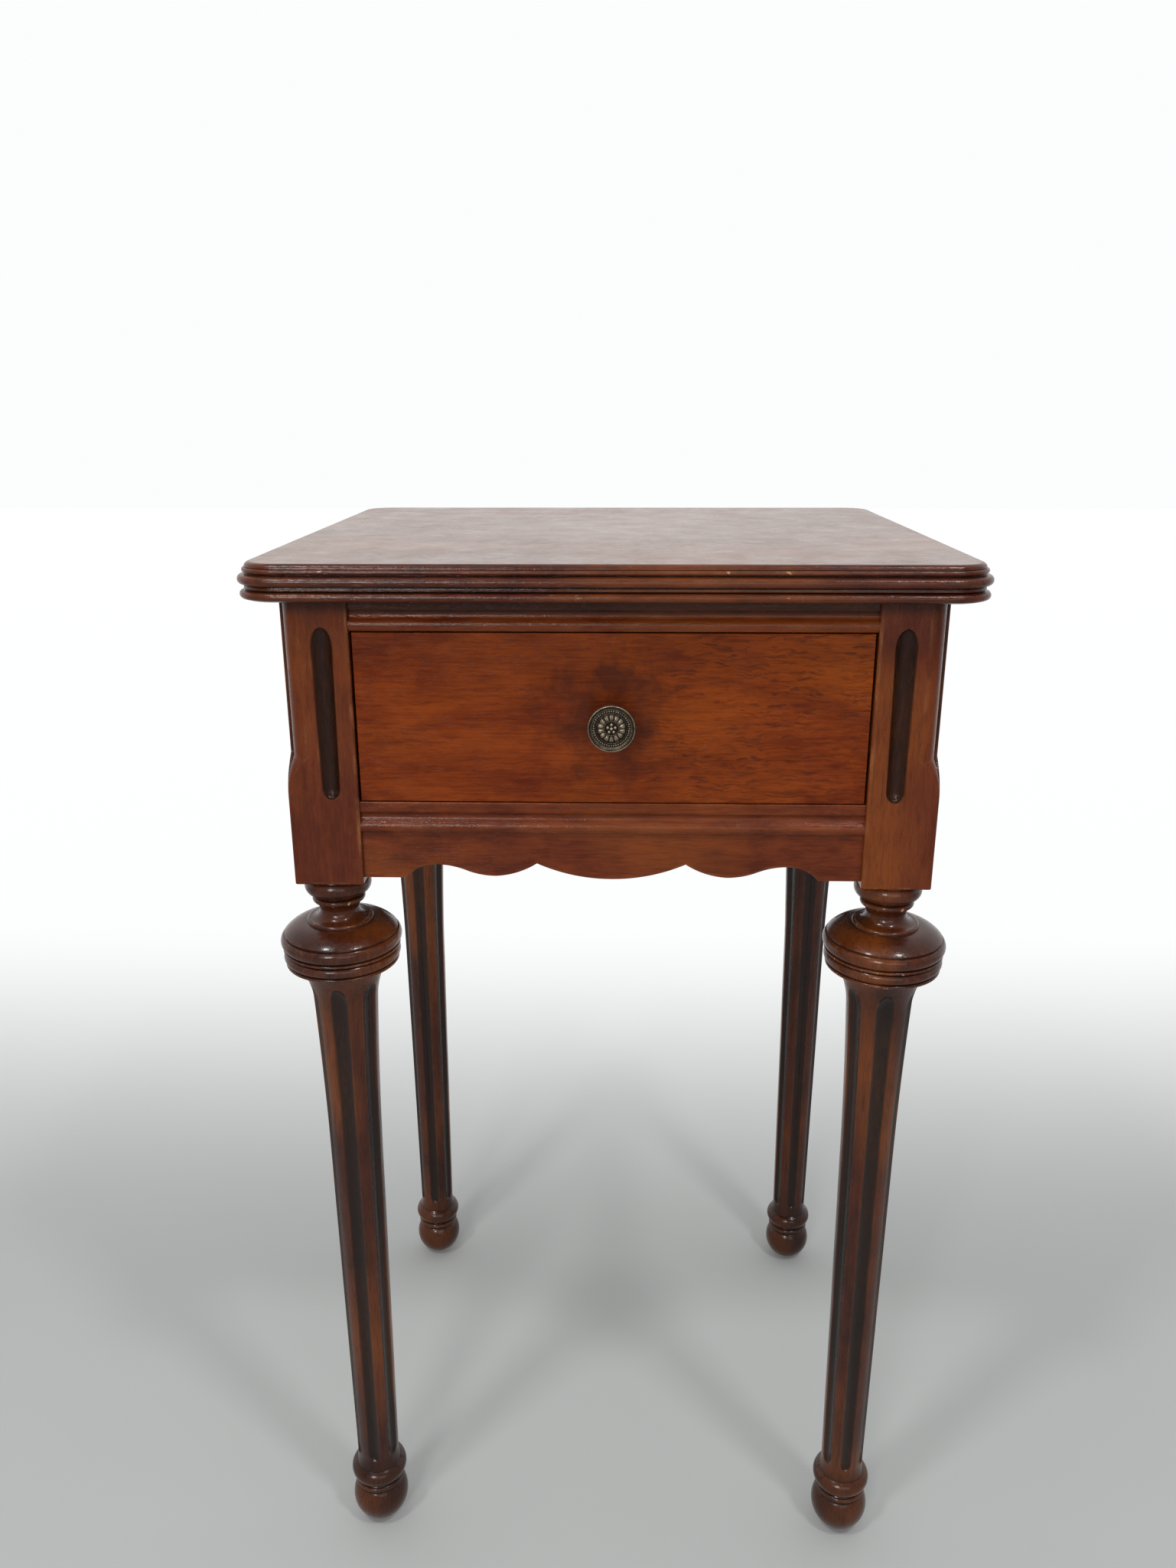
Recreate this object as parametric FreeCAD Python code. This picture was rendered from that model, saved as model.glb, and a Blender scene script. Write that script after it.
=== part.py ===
"""Mahogany side table with one drawer, as separate wooden and brass pieces.

Frame: origin on the floor under the middle of the table, +X to the right, +Y to the
back, +Z up. The drawer opens towards -Y. All sizes are in millimetres.
"""
import FreeCAD, Part
import math
import os

# ------------------------------------------------------------------ driving sizes
TABLE_HEIGHT = 737.0
TOP_WIDTH = 436.0
TOP_DEPTH = 390.0
TOP_THICKNESS = 22.0
TOP_CORNER_RADIUS = 25.0
TOP_CORE_RADIUS = 12.0

CASE_HALF_WIDTH = 198.5
CASE_HALF_DEPTH = 173.7
POST_SIDE = 43.2
POST_FOOT_Z = 535.0
LEG_TENON_RADIUS = 11.0
LEG_TENON_LENGTH = 38.0

RAIL_HEIGHT = 20.0
DRAWER_OPENING_HEIGHT = 106.0
DRAWER_OPENING_FLOOR_Z = 589.5
APRON_THICKNESS = 18.0
APRON_RECESS = 3.5
APRON_STRAIGHT_Z = 538.8
PANEL_THICKNESS = 18.0
PANEL_RECESS = 3.0
RUNNER_THICKNESS = 18.0
GUIDE_HEIGHT = 15.0
RUNNER_REACH = 15.0

FRONT_RECESS = 2.5
FRONT_THICKNESS = 19.0
FRONT_SIDE_GAP = 1.4
FRONT_TOP_GAP = 0.8
SIDE_THICKNESS = 11.0
SIDE_UNDER_GAP = 0.3
SIDE_TOP_GAP = 3.5
DOVETAIL_COUNT = 4
DOVETAIL_LAP = 6.2
DRAWER_REAR_Y = 147.0
BOTTOM_THICKNESS = 5.0
BOTTOM_GROOVE_DEPTH = 5.0
BOTTOM_LIFT = 7.0

KNOB_RADIUS = 14.0
KNOB_REACH = 22.0
BOLT_RADIUS = 2.0

DOWEL_RADIUS = 4.0
DOWEL_HALF_LENGTH = 14.0
APRON_DOWEL_HALF_LENGTH = 9.0
SCREW_RADIUS = 2.0
SCREW_HEAD_RADIUS = 4.0
SCREW_HEAD_HEIGHT = 2.6

# ------------------------------------------------------------------ worked-out places
TOP_UNDERSIDE_Z = TABLE_HEIGHT - TOP_THICKNESS
POST_INNER_X = CASE_HALF_WIDTH - POST_SIDE
POST_INNER_Y = CASE_HALF_DEPTH - POST_SIDE
LEG_AXIS_X = CASE_HALF_WIDTH - POST_SIDE / 2
LEG_AXIS_Y = CASE_HALF_DEPTH - POST_SIDE / 2
UPPER_RAIL_Z = DRAWER_OPENING_FLOOR_Z + DRAWER_OPENING_HEIGHT
LOWER_RAIL_Z = DRAWER_OPENING_FLOOR_Z - RAIL_HEIGHT
PANEL_INNER_X = CASE_HALF_WIDTH - PANEL_RECESS - PANEL_THICKNESS
PANEL_INNER_Y = CASE_HALF_DEPTH - PANEL_RECESS - PANEL_THICKNESS

FRONT_FACE_Y = -CASE_HALF_DEPTH + FRONT_RECESS
FRONT_BACK_Y = FRONT_FACE_Y + FRONT_THICKNESS
FRONT_HALF_WIDTH = POST_INNER_X - FRONT_SIDE_GAP
FRONT_FLOOR_Z = DRAWER_OPENING_FLOOR_Z + FRONT_TOP_GAP
FRONT_ROOF_Z = UPPER_RAIL_Z - FRONT_TOP_GAP
SIDE_INNER_X = FRONT_HALF_WIDTH - SIDE_THICKNESS
SIDE_FLOOR_Z = DRAWER_OPENING_FLOOR_Z + SIDE_UNDER_GAP
SIDE_ROOF_Z = UPPER_RAIL_Z - SIDE_TOP_GAP
BOTTOM_FLOOR_Z = FRONT_FLOOR_Z + BOTTOM_LIFT
BOTTOM_ROOF_Z = BOTTOM_FLOOR_Z + BOTTOM_THICKNESS
DRAWER_BACK_FRONT_Y = DRAWER_REAR_Y - 2.0 - SIDE_THICKNESS
KNOB_Z = (FRONT_FLOOR_Z + FRONT_ROOF_Z) / 2

SIDES = {"left": -1, "right": 1}
ENDS = {"front": -1, "rear": 1}
UP = FreeCAD.Vector(0, 0, 1)
OVERCUT = 1.0


# ------------------------------------------------------------------ small helpers
def vec(x, y, z):
    """A point or direction."""
    return FreeCAD.Vector(x, y, z)


def block(x0, x1, y0, y1, z0, z1):
    """A square-edged board between two corners given in either order."""
    low = vec(min(x0, x1), min(y0, y1), min(z0, z1))
    return Part.makeBox(abs(x1 - x0), abs(y1 - y0), abs(z1 - z0), low)


def outline(start, steps):
    """Closed wire from a start point: a step is (end,) for a line or (via, end) for an arc."""
    edges = []
    here = start
    for step in steps:
        end = step[-1]
        if len(step) == 2:
            edges.append(Part.Arc(here, step[0], end).toShape())
        else:
            edges.append(Part.LineSegment(here, end).toShape())
        here = end
    if here.distanceToPoint(start) > 1e-6:
        edges.append(Part.LineSegment(here, start).toShape())
    return Part.Wire(edges)


def flat_outline(start, steps, place):
    """The same outline from pairs of numbers, which place() turns into points."""
    placed = [tuple(place(*point) for point in step) for step in steps]
    return outline(place(*start), placed)


def prism(wire, direction):
    """Solid swept straight from a closed flat wire."""
    return Part.Face(wire).extrude(direction)


def turned(profile_start, profile_steps, x, y):
    """Solid of revolution about a vertical axis, from (radius, height) pairs."""
    wire = flat_outline(profile_start, profile_steps, lambda r, z: vec(r, 0, z))
    solid = Part.Face(wire).revolve(vec(0, 0, 0), UP, 360)
    solid.translate(vec(x, y, 0))
    return solid


def mirrored_x(shape):
    """Copy on the other side of the table's middle plane."""
    return shape.mirror(vec(0, 0, 0), vec(1, 0, 0))


def on_side(shape, side):
    """A shape drawn for the right-hand side, placed on the side asked for."""
    return shape if side == SIDES["right"] else mirrored_x(shape)


def joined(shapes):
    """One solid from overlapping or touching shapes."""
    return shapes[0].multiFuse(shapes[1:]).removeSplitter()


def save(name, shape):
    """Write one piece, or one group of equal pieces, to parts/NAME.step."""
    for solid in shape.Solids:
        if not solid.isValid() or solid.Volume <= 0:
            raise ValueError("bad solid in " + name)
    shape.exportStep("parts/" + name + ".step")
    print(name, len(shape.Solids), round(shape.Volume / 1000.0, 1), "cm3")


# ------------------------------------------------------------------ fasteners
def carcass_dowels(part_name):
    """Beech dowels that join the rails ("rail") or the side and back boards ("panel") to the posts."""
    right = []
    if part_name == "rail":
        for rail_z in (UPPER_RAIL_Z, LOWER_RAIL_Z):
            for step in (-9, 9):
                right.append(dowel(vec(POST_INNER_X, -LEG_AXIS_Y + step, rail_z + RAIL_HEIGHT / 2),
                                   vec(1, 0, 0), DOWEL_HALF_LENGTH))
        apron_y = -CASE_HALF_DEPTH + APRON_RECESS + APRON_THICKNESS / 2
        right.append(dowel(vec(POST_INNER_X, apron_y, LOWER_RAIL_Z - RAIL_HEIGHT / 2),
                           vec(1, 0, 0), APRON_DOWEL_HALF_LENGTH))
    else:
        heights = [POST_FOOT_Z + 60, POST_FOOT_Z + 105, POST_FOOT_Z + 150]
        side_x = PANEL_INNER_X + PANEL_THICKNESS / 2
        back_y = PANEL_INNER_Y + PANEL_THICKNESS / 2
        for z in heights:
            for end in ENDS.values():
                right.append(dowel(vec(side_x, end * POST_INNER_Y, z), vec(0, 1, 0), DOWEL_HALF_LENGTH))
            right.append(dowel(vec(POST_INNER_X, back_y, z - 12), vec(1, 0, 0), DOWEL_HALF_LENGTH))
    return Part.Compound(right + [mirrored_x(shape) for shape in right])


def dowel(middle, direction, half_length):
    """One dowel centred on a joint line."""
    return Part.makeCylinder(DOWEL_RADIUS, 2 * half_length, middle - direction * half_length, direction)


def screw(head_centre, direction, length):
    """Countersunk wood screw whose flat head lies at head_centre."""
    head = Part.makeCone(SCREW_HEAD_RADIUS, SCREW_RADIUS, SCREW_HEAD_HEIGHT, head_centre, direction)
    neck = head_centre + direction * SCREW_HEAD_HEIGHT
    shank = Part.makeCylinder(SCREW_RADIUS, length - 2 * SCREW_HEAD_HEIGHT, neck, direction)
    tip_base = head_centre + direction * (length - SCREW_HEAD_HEIGHT)
    tip = Part.makeCone(SCREW_RADIUS, 0.3, SCREW_HEAD_HEIGHT, tip_base, direction)
    return joined([head, shank, tip])


def top_screws():
    """Six screws that hold the top down, driven up through the kickers and the upper rail."""
    length = RAIL_HEIGHT + 12
    kicker_x = (POST_INNER_X + PANEL_INNER_X) / 2 - 6
    places = [(kicker_x, -90), (kicker_x, 90), (90, -LEG_AXIS_Y)]
    right = [screw(vec(x, y, UPPER_RAIL_Z), UP, length) for x, y in places]
    return Part.Compound(right + [mirrored_x(shape) for shape in right])


def runner_screws():
    """Three screws a side that fix the runners to the side boards."""
    start_x = POST_INNER_X - RUNNER_REACH
    z = DRAWER_OPENING_FLOOR_Z - RUNNER_THICKNESS / 2
    right = [screw(vec(start_x, y, z), vec(1, 0, 0), 48.0) for y in (-95, 0, 95)]
    return Part.Compound(right + [mirrored_x(shape) for shape in right])


# ------------------------------------------------------------------ top
def reeded_section():
    """Section of the top's edge band, measured outwards from a corner's centre, with three reeds."""
    crest = TOP_CORNER_RADIUS
    start = (TOP_CORE_RADIUS, 0)
    steps = [((crest - 7.6, 0),),
             ((crest - 5.2, 1.0), (crest - 4.4, 3.2)),
             ((crest - 2.9, 4.7), (crest - 3.3, 6.4)),
             ((crest, 9.8), (crest - 3.3, 13.2)),
             ((crest - 3.6, 15.2),),
             ((crest - 0.9, 18.3), (crest - 3.9, 21.4)),
             ((crest - 7.6, TOP_THICKNESS),),
             ((TOP_CORE_RADIUS, TOP_THICKNESS),)]
    return flat_outline(start, steps, lambda out, down: vec(out, 0, TABLE_HEIGHT - down))


def table_top():
    """Solid top with rounded corners: a core, four moulded edges and four turned corners."""
    section = Part.Face(reeded_section())
    half_x = TOP_WIDTH / 2 - TOP_CORNER_RADIUS
    half_y = TOP_DEPTH / 2 - TOP_CORNER_RADIUS
    core_x = half_x + TOP_CORE_RADIUS
    core_y = half_y + TOP_CORE_RADIUS
    core = block(-core_x, core_x, -core_y, core_y, TOP_UNDERSIDE_Z, TABLE_HEIGHT)
    upright = [edge for edge in core.Edges if abs(edge.tangentAt(0).z) > 0.5]
    shapes = [core.makeFillet(TOP_CORE_RADIUS, upright)]
    for quarter in range(4):
        run = half_y if quarter % 2 == 0 else half_x
        reach = half_x if quarter % 2 == 0 else half_y
        edge = section.copy()
        edge.translate(vec(reach, -run, 0))
        edge = edge.extrude(vec(0, 2 * run, 0))
        corner = section.copy().revolve(vec(0, 0, 0), UP, 90)
        corner.translate(vec(reach, run, 0))
        for shape in (edge, corner):
            shape.rotate(vec(0, 0, 0), UP, 90 * quarter)
            shapes.append(shape)
    return joined(shapes).cut(top_screws())


# ------------------------------------------------------------------ posts and legs
def post_flute():
    """Cutter for the stopped flute on a front post: it widens upwards, and is round at both ends."""
    foot_radius, head_radius, tip_radius = 5.9, 7.0, 5.4
    stand_off = 2.1
    x = POST_INNER_X + 16.2
    y = -CASE_HALF_DEPTH - stand_off
    foot_z, shoulder_z, tip_z = 597.0, 686.0, 693.0
    shapes = [Part.makeSphere(foot_radius, vec(x, y, foot_z)),
              Part.makeCone(foot_radius, head_radius, shoulder_z - foot_z, vec(x, y, foot_z), UP),
              Part.makeCone(head_radius, tip_radius, tip_z - shoulder_z, vec(x, y, shoulder_z), UP),
              Part.makeSphere(tip_radius, vec(x, y, tip_z))]
    return joined(shapes)


def post_ease():
    """Cutter for the stopped quarter-round with a step on a front post's outer corner."""
    face_y = -CASE_HALF_DEPTH
    flat_x = CASE_HALF_WIDTH - 13.6
    step_x = CASE_HALF_WIDTH - 3.3
    radius = step_x - flat_x
    diagonal = radius * math.sqrt(0.5)
    step_y = face_y + 13.4
    outside_x = CASE_HALF_WIDTH + OVERCUT
    steps = [((flat_x, face_y),),
             ((flat_x + diagonal, face_y + radius - diagonal), (step_x, face_y + radius)),
             ((step_x, step_y),),
             ((outside_x, step_y),),
             ((outside_x, face_y - OVERCUT),)]
    stop_z = 593.0
    run_out = 25.0
    wire = flat_outline((flat_x, face_y - OVERCUT), steps, lambda x, y: vec(x, y, stop_z))
    cutter = prism(wire, UP * (TOP_UNDERSIDE_Z + OVERCUT - stop_z))
    ramp_depth = 12.0
    ramp = flat_outline((-3 * OVERCUT, stop_z - OVERCUT),
                        [((0, stop_z),), ((ramp_depth, stop_z + run_out),),
                         ((2 * ramp_depth, stop_z + run_out),), ((2 * ramp_depth, stop_z - OVERCUT),)],
                        lambda inwards, z: vec(-inwards, -20, z))
    wedge = prism(ramp, vec(0, 40, 0))
    wedge.rotate(vec(0, 0, 0), UP, -45)
    wedge.translate(vec(CASE_HALF_WIDTH, face_y, 0))
    return cutter.cut(wedge)


def post(side, end):
    """Square corner post; the front pair are fluted and eased."""
    blank = block(POST_INNER_X, CASE_HALF_WIDTH, end * POST_INNER_Y, end * CASE_HALF_DEPTH,
                  POST_FOOT_Z, TOP_UNDERSIDE_Z)
    bore = Part.makeCylinder(LEG_TENON_RADIUS, LEG_TENON_LENGTH,
                             vec(LEG_AXIS_X, end * LEG_AXIS_Y, POST_FOOT_Z), UP)
    shape = blank.cut(bore)
    if end == ENDS["front"]:
        shape = shape.cut(post_flute()).cut(post_ease())
    shape = on_side(shape, side)
    return shape.cut(carcass_dowels("rail")).cut(carcass_dowels("panel"))


def leg_profile():
    """Radius and height of the turned leg, from the flat under the foot to the tenon."""
    tenon_top = POST_FOOT_Z + LEG_TENON_LENGTH
    steps = [((8.0, 0),),
             ((20.4, 17.0), (17.0, 31.8)),
             ((17.0, 34.0),),
             ((18.4, 35.6), (17.0, 37.2)),
             ((16.9, 39.0),),
             ((20.6, 45.5), (16.9, 52.4)),
             ((15.6, 58.0), (15.2, 66.0)),
             ((17.8, 330.0),),
             ((19.0, 392.0), (21.2, 449.0)),
             ((23.6, 460.5), (26.5, 468.0)),
             ((29.0, 471.6), (33.4, 473.8)),
             ((36.2, 474.6),),
             ((37.8, 478.6), (36.3, 482.8)),
             ((39.1, 489.6), (37.3, 495.6)),
             ((31.0, 499.7), (21.8, 503.3)),
             ((20.3, 505.2),),
             ((12.9, 511.4), (15.4, 516.8)),
             ((17.0, 519.0), (15.6, 521.2)),
             ((21.4, 527.2), (18.8, POST_FOOT_Z)),
             ((LEG_TENON_RADIUS, POST_FOOT_Z),),
             ((LEG_TENON_RADIUS, tenon_top),),
             ((0, tenon_top),)]
    return (0, 0), steps


def leg_flutes():
    """Six long cutters round a leg's axis, each a rounded rod that follows the tapered shaft."""
    cutter_radius = 9.4
    stand_off = cutter_radius - 2.3
    path = [(15.3, 68.0), (17.8, 330.0), (20.8, 440.0)]
    rods = []
    for flute in range(6):
        around = math.radians(-90 + 60 * flute)
        points = []
        for radius, z in path:
            reach = radius + stand_off
            points.append(vec(reach * math.cos(around), reach * math.sin(around), z))
        rods.extend(Part.makeSphere(cutter_radius, point) for point in points)
        for low, high in zip(points, points[1:]):
            rods.append(Part.makeCylinder(cutter_radius, low.distanceToPoint(high), low, high - low))
    return rods


def leg(side, end):
    """Turned leg: bun foot, fluted tapering shaft, double-ringed bulb, and round tenon."""
    start, steps = leg_profile()
    shape = turned(start, steps, 0, 0).cut(leg_flutes())
    shape.translate(vec(side * LEG_AXIS_X, end * LEG_AXIS_Y, 0))
    return shape


# ------------------------------------------------------------------ front rails and apron
def front_rail(floor_z, height):
    """Rail across the front with a flat, a cove and a bead worked on its face."""
    face_y = -CASE_HALF_DEPTH
    roof_z = floor_z + height
    steps = [((2.5, 6.5),),
             ((4.2, 9.2), (3.0, 12.4)),
             ((0.8, 16.2), (2.0, height)),
             ((POST_SIDE, height),),
             ((POST_SIDE, 0),)]
    place = lambda recess, down: vec(-POST_INNER_X, face_y + recess, roof_z - down)
    rail = prism(flat_outline((2.5, 0), steps, place), vec(2 * POST_INNER_X, 0, 0))
    return rail.cut(carcass_dowels("rail"))


def front_apron():
    """Shaped board under the lower rail: a broad middle lobe between two smaller ones."""
    lobe_z = 538.9
    cusp_x, cusp_z = 46.4, 549.0
    low_x, low_z = 72.0, 540.4
    peak_x, peak_z = 110.0, 547.8
    shoulder_x = 129.5
    turn_x, turn_z = (low_x + peak_x) / 2, (low_z + peak_z) / 2
    y = -CASE_HALF_DEPTH + APRON_RECESS
    place = lambda x, z: vec(x, y, z)
    right = [((cusp_x / 2, lobe_z + 2.4), (cusp_x, cusp_z)),
             ((58.6, 543.0), (low_x, low_z)),
             ((82.2, 541.4), (turn_x, turn_z)),
             ((99.8, 546.8), (peak_x, peak_z)),
             ((121.4, 545.0), (shoulder_x, APRON_STRAIGHT_Z)),
             ((POST_INNER_X, APRON_STRAIGHT_Z),),
             ((POST_INNER_X, LOWER_RAIL_Z),),
             ((0, LOWER_RAIL_Z),)]
    half = prism(flat_outline((0, lobe_z), right, place), vec(0, APRON_THICKNESS, 0))
    return joined([half, mirrored_x(half)]).cut(carcass_dowels("rail"))


def apron_glue_blocks():
    """Three triangular blocks rubbed into the corner behind the apron, under the lower rail."""
    leg_length = 16.0
    back_y = -CASE_HALF_DEPTH + APRON_RECESS + APRON_THICKNESS
    blocks = []
    for middle_x in (-100.0, 0.0, 100.0):
        corner = vec(middle_x - 20, back_y, LOWER_RAIL_Z)
        wire = outline(corner, [(corner + vec(0, leg_length, 0),), (corner - vec(0, 0, leg_length),)])
        blocks.append(prism(wire, vec(40, 0, 0)))
    return Part.Compound(blocks)


# ------------------------------------------------------------------ case boards
def side_panel(side):
    """Board between the front and rear posts on one side."""
    board = block(PANEL_INNER_X, PANEL_INNER_X + PANEL_THICKNESS, -POST_INNER_Y, POST_INNER_Y,
                  APRON_STRAIGHT_Z, TOP_UNDERSIDE_Z)
    return on_side(board, side).cut(carcass_dowels("panel")).cut(runner_screws())


def back_panel():
    """Board between the rear posts."""
    board = block(-POST_INNER_X, POST_INNER_X, PANEL_INNER_Y, PANEL_INNER_Y + PANEL_THICKNESS,
                  APRON_STRAIGHT_Z, TOP_UNDERSIDE_Z)
    return board.cut(carcass_dowels("panel"))


def runner(side):
    """Strip that the drawer side slides on."""
    strip = block(POST_INNER_X - RUNNER_REACH, PANEL_INNER_X, -POST_INNER_Y, POST_INNER_Y,
                  DRAWER_OPENING_FLOOR_Z - RUNNER_THICKNESS, DRAWER_OPENING_FLOOR_Z)
    return on_side(strip, side).cut(runner_screws())


def guide(side):
    """Strip on the runner, level with the posts' inner faces, that keeps the drawer straight."""
    strip = block(POST_INNER_X, PANEL_INNER_X, -POST_INNER_Y, POST_INNER_Y,
                  DRAWER_OPENING_FLOOR_Z, DRAWER_OPENING_FLOOR_Z + GUIDE_HEIGHT)
    return on_side(strip, side)


def kicker(side):
    """Strip above the drawer side that stops the open drawer from tipping."""
    strip = block(POST_INNER_X - RUNNER_REACH, PANEL_INNER_X, -POST_INNER_Y, POST_INNER_Y,
                  UPPER_RAIL_Z, TOP_UNDERSIDE_Z)
    return on_side(strip, side).cut(top_screws())


def drawer_stops():
    """Two small blocks on the lower rail that the closed drawer front rests against."""
    front_y = FRONT_BACK_Y + 0.3
    stops = [block(x - 20, x + 20, front_y, front_y + 10, DRAWER_OPENING_FLOOR_Z,
                   BOTTOM_FLOOR_Z - 2.5) for x in (-80, 80)]
    return Part.Compound(stops)


# ------------------------------------------------------------------ drawer
def dovetails():
    """The tails on the front end of the right-hand drawer side."""
    pitch = (SIDE_ROOF_Z - FRONT_FLOOR_Z) / DOVETAIL_COUNT
    tip_y = FRONT_FACE_Y + DOVETAIL_LAP
    tails = []
    for number in range(DOVETAIL_COUNT):
        middle = FRONT_FLOOR_Z + pitch * (number + 0.5)
        corners = [(FRONT_BACK_Y, middle - 6.0), (tip_y, middle - 8.2),
                   (tip_y, middle + 8.2), (FRONT_BACK_Y, middle + 6.0)]
        wire = flat_outline(corners[0], [(point,) for point in corners[1:]],
                            lambda y, z: vec(SIDE_INNER_X, y, z))
        tails.append(prism(wire, vec(SIDE_THICKNESS, 0, 0)))
    return tails


def bottom_board():
    """The drawer bottom's outline, which also cuts the grooves that hold it."""
    half_width = SIDE_INNER_X + BOTTOM_GROOVE_DEPTH
    return block(-half_width, half_width, FRONT_BACK_Y - BOTTOM_GROOVE_DEPTH, DRAWER_REAR_Y - 2,
                 BOTTOM_FLOOR_Z, BOTTOM_ROOF_Z)


def drawer_bottom():
    """Thin board held in grooves in the front and sides, and nailed up under the back."""
    return bottom_board().cut(drawer_bottom_nails())


def drawer_back():
    """Board housed between the drawer sides, standing on the drawer bottom."""
    half_width = SIDE_INNER_X + 4.0
    board = block(-half_width, half_width, DRAWER_BACK_FRONT_Y, DRAWER_REAR_Y - 2,
                  BOTTOM_ROOF_Z, SIDE_ROOF_Z - 4)
    return board.cut(drawer_bottom_nails())


def drawer_bottom_nails():
    """Nails driven up through the drawer bottom into the back."""
    y = DRAWER_BACK_FRONT_Y + SIDE_THICKNESS / 2
    nails = []
    for number in range(5):
        x = 60.0 * (number - 2)
        head = Part.makeCylinder(2.4, 0.8, vec(x, y, BOTTOM_FLOOR_Z), UP)
        shank = Part.makeCylinder(0.9, 24.0, vec(x, y, BOTTOM_FLOOR_Z + 0.8), UP)
        nails.append(joined([head, shank]))
    return Part.Compound(nails)


def drawer_side(side):
    """Drawer side with dovetails, a bottom groove and a housing for the back."""
    board = block(SIDE_INNER_X, FRONT_HALF_WIDTH, FRONT_BACK_Y, DRAWER_REAR_Y, SIDE_FLOOR_Z, SIDE_ROOF_Z)
    shape = joined([board] + dovetails())
    shape = shape.cut(bottom_board()).cut(drawer_back())
    return on_side(shape, side)


def drawer_front():
    """Flat drawer front with dovetail sockets, a bottom groove and the knob's bolt hole."""
    shape = block(-FRONT_HALF_WIDTH, FRONT_HALF_WIDTH, FRONT_FACE_Y, FRONT_BACK_Y,
                  FRONT_FLOOR_Z, FRONT_ROOF_Z)
    tails = dovetails()
    shape = shape.cut(tails + [mirrored_x(tail) for tail in tails])
    bolt_hole = Part.makeCylinder(BOLT_RADIUS + 0.5, FRONT_THICKNESS, vec(0, FRONT_FACE_Y, KNOB_Z),
                                  vec(0, 1, 0))
    return shape.cut(bottom_board()).cut(bolt_hole)


# ------------------------------------------------------------------ knob
def turned_to_front(profile_start, profile_steps):
    """Solid of revolution about the knob's axis, from (radius, distance before the drawer) pairs."""
    place = lambda r, out: vec(r, FRONT_FACE_Y - out, KNOB_Z)
    wire = flat_outline(profile_start, profile_steps, place)
    return Part.Face(wire).revolve(vec(0, 0, KNOB_Z), vec(0, 1, 0), 360)


def knob_head():
    """Dished round head with a raised rim, a bead ring and a domed middle."""
    back = KNOB_REACH - 8.0
    dome_radius = KNOB_RADIUS - 5.0
    dome_height = 0.9
    dome_foot = KNOB_REACH - 1.4
    ball = (dome_radius ** 2 + dome_height ** 2) / (2 * dome_height)
    shoulder = dome_radius / 2
    shoulder_height = dome_foot + dome_height - ball + math.sqrt(ball ** 2 - shoulder ** 2)
    steps = [((6.0, back),),
             ((11.5, back + 1.0), (KNOB_RADIUS - 0.4, back + 4.2)),
             ((KNOB_RADIUS, back + 6.0), (KNOB_RADIUS - 1.2, KNOB_REACH)),
             ((KNOB_RADIUS - 2.6, dome_foot),),
             ((KNOB_RADIUS - 3.8, dome_foot + 0.8), (dome_radius, dome_foot)),
             ((shoulder, shoulder_height), (0, dome_foot + dome_height))]
    return turned_to_front((0, back), steps)


def knob_stem():
    """Waisted neck and round foot between the head and the drawer front."""
    back = KNOB_REACH - 8.0
    steps = [((9.0, 0),),
             ((9.0, 1.6),),
             ((5.0, 6.0), (6.0, back)),
             ((0, back),)]
    stem = turned_to_front((0, 0), steps)
    return stem.cut(bolt_shank())


def bolt_shank():
    """The threaded part of the bolt, from inside the drawer into the stem."""
    return Part.makeCylinder(BOLT_RADIUS, FRONT_THICKNESS + 9.0, vec(0, FRONT_BACK_Y, KNOB_Z),
                             vec(0, -1, 0))


def knob_washer():
    """Flat washer against the inside of the drawer front."""
    disc = Part.makeCylinder(6.0, 1.0, vec(0, FRONT_BACK_Y, KNOB_Z), vec(0, 1, 0))
    return disc.cut(Part.makeCylinder(BOLT_RADIUS + 0.3, 1.0, vec(0, FRONT_BACK_Y, KNOB_Z), vec(0, 1, 0)))


def knob_bolt():
    """Slotted round-head bolt that holds the knob from inside the drawer."""
    head_y = FRONT_BACK_Y + 1.0
    head = Part.makeCylinder(4.0, 2.4, vec(0, head_y, KNOB_Z), vec(0, 1, 0))
    neck = Part.makeCylinder(BOLT_RADIUS, 1.0, vec(0, FRONT_BACK_Y, KNOB_Z), vec(0, 1, 0))
    slot = block(-5, 5, head_y + 1.4, head_y + 3, KNOB_Z - 0.5, KNOB_Z + 0.5)
    return joined([head, neck, bolt_shank()]).cut(slot)


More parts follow.
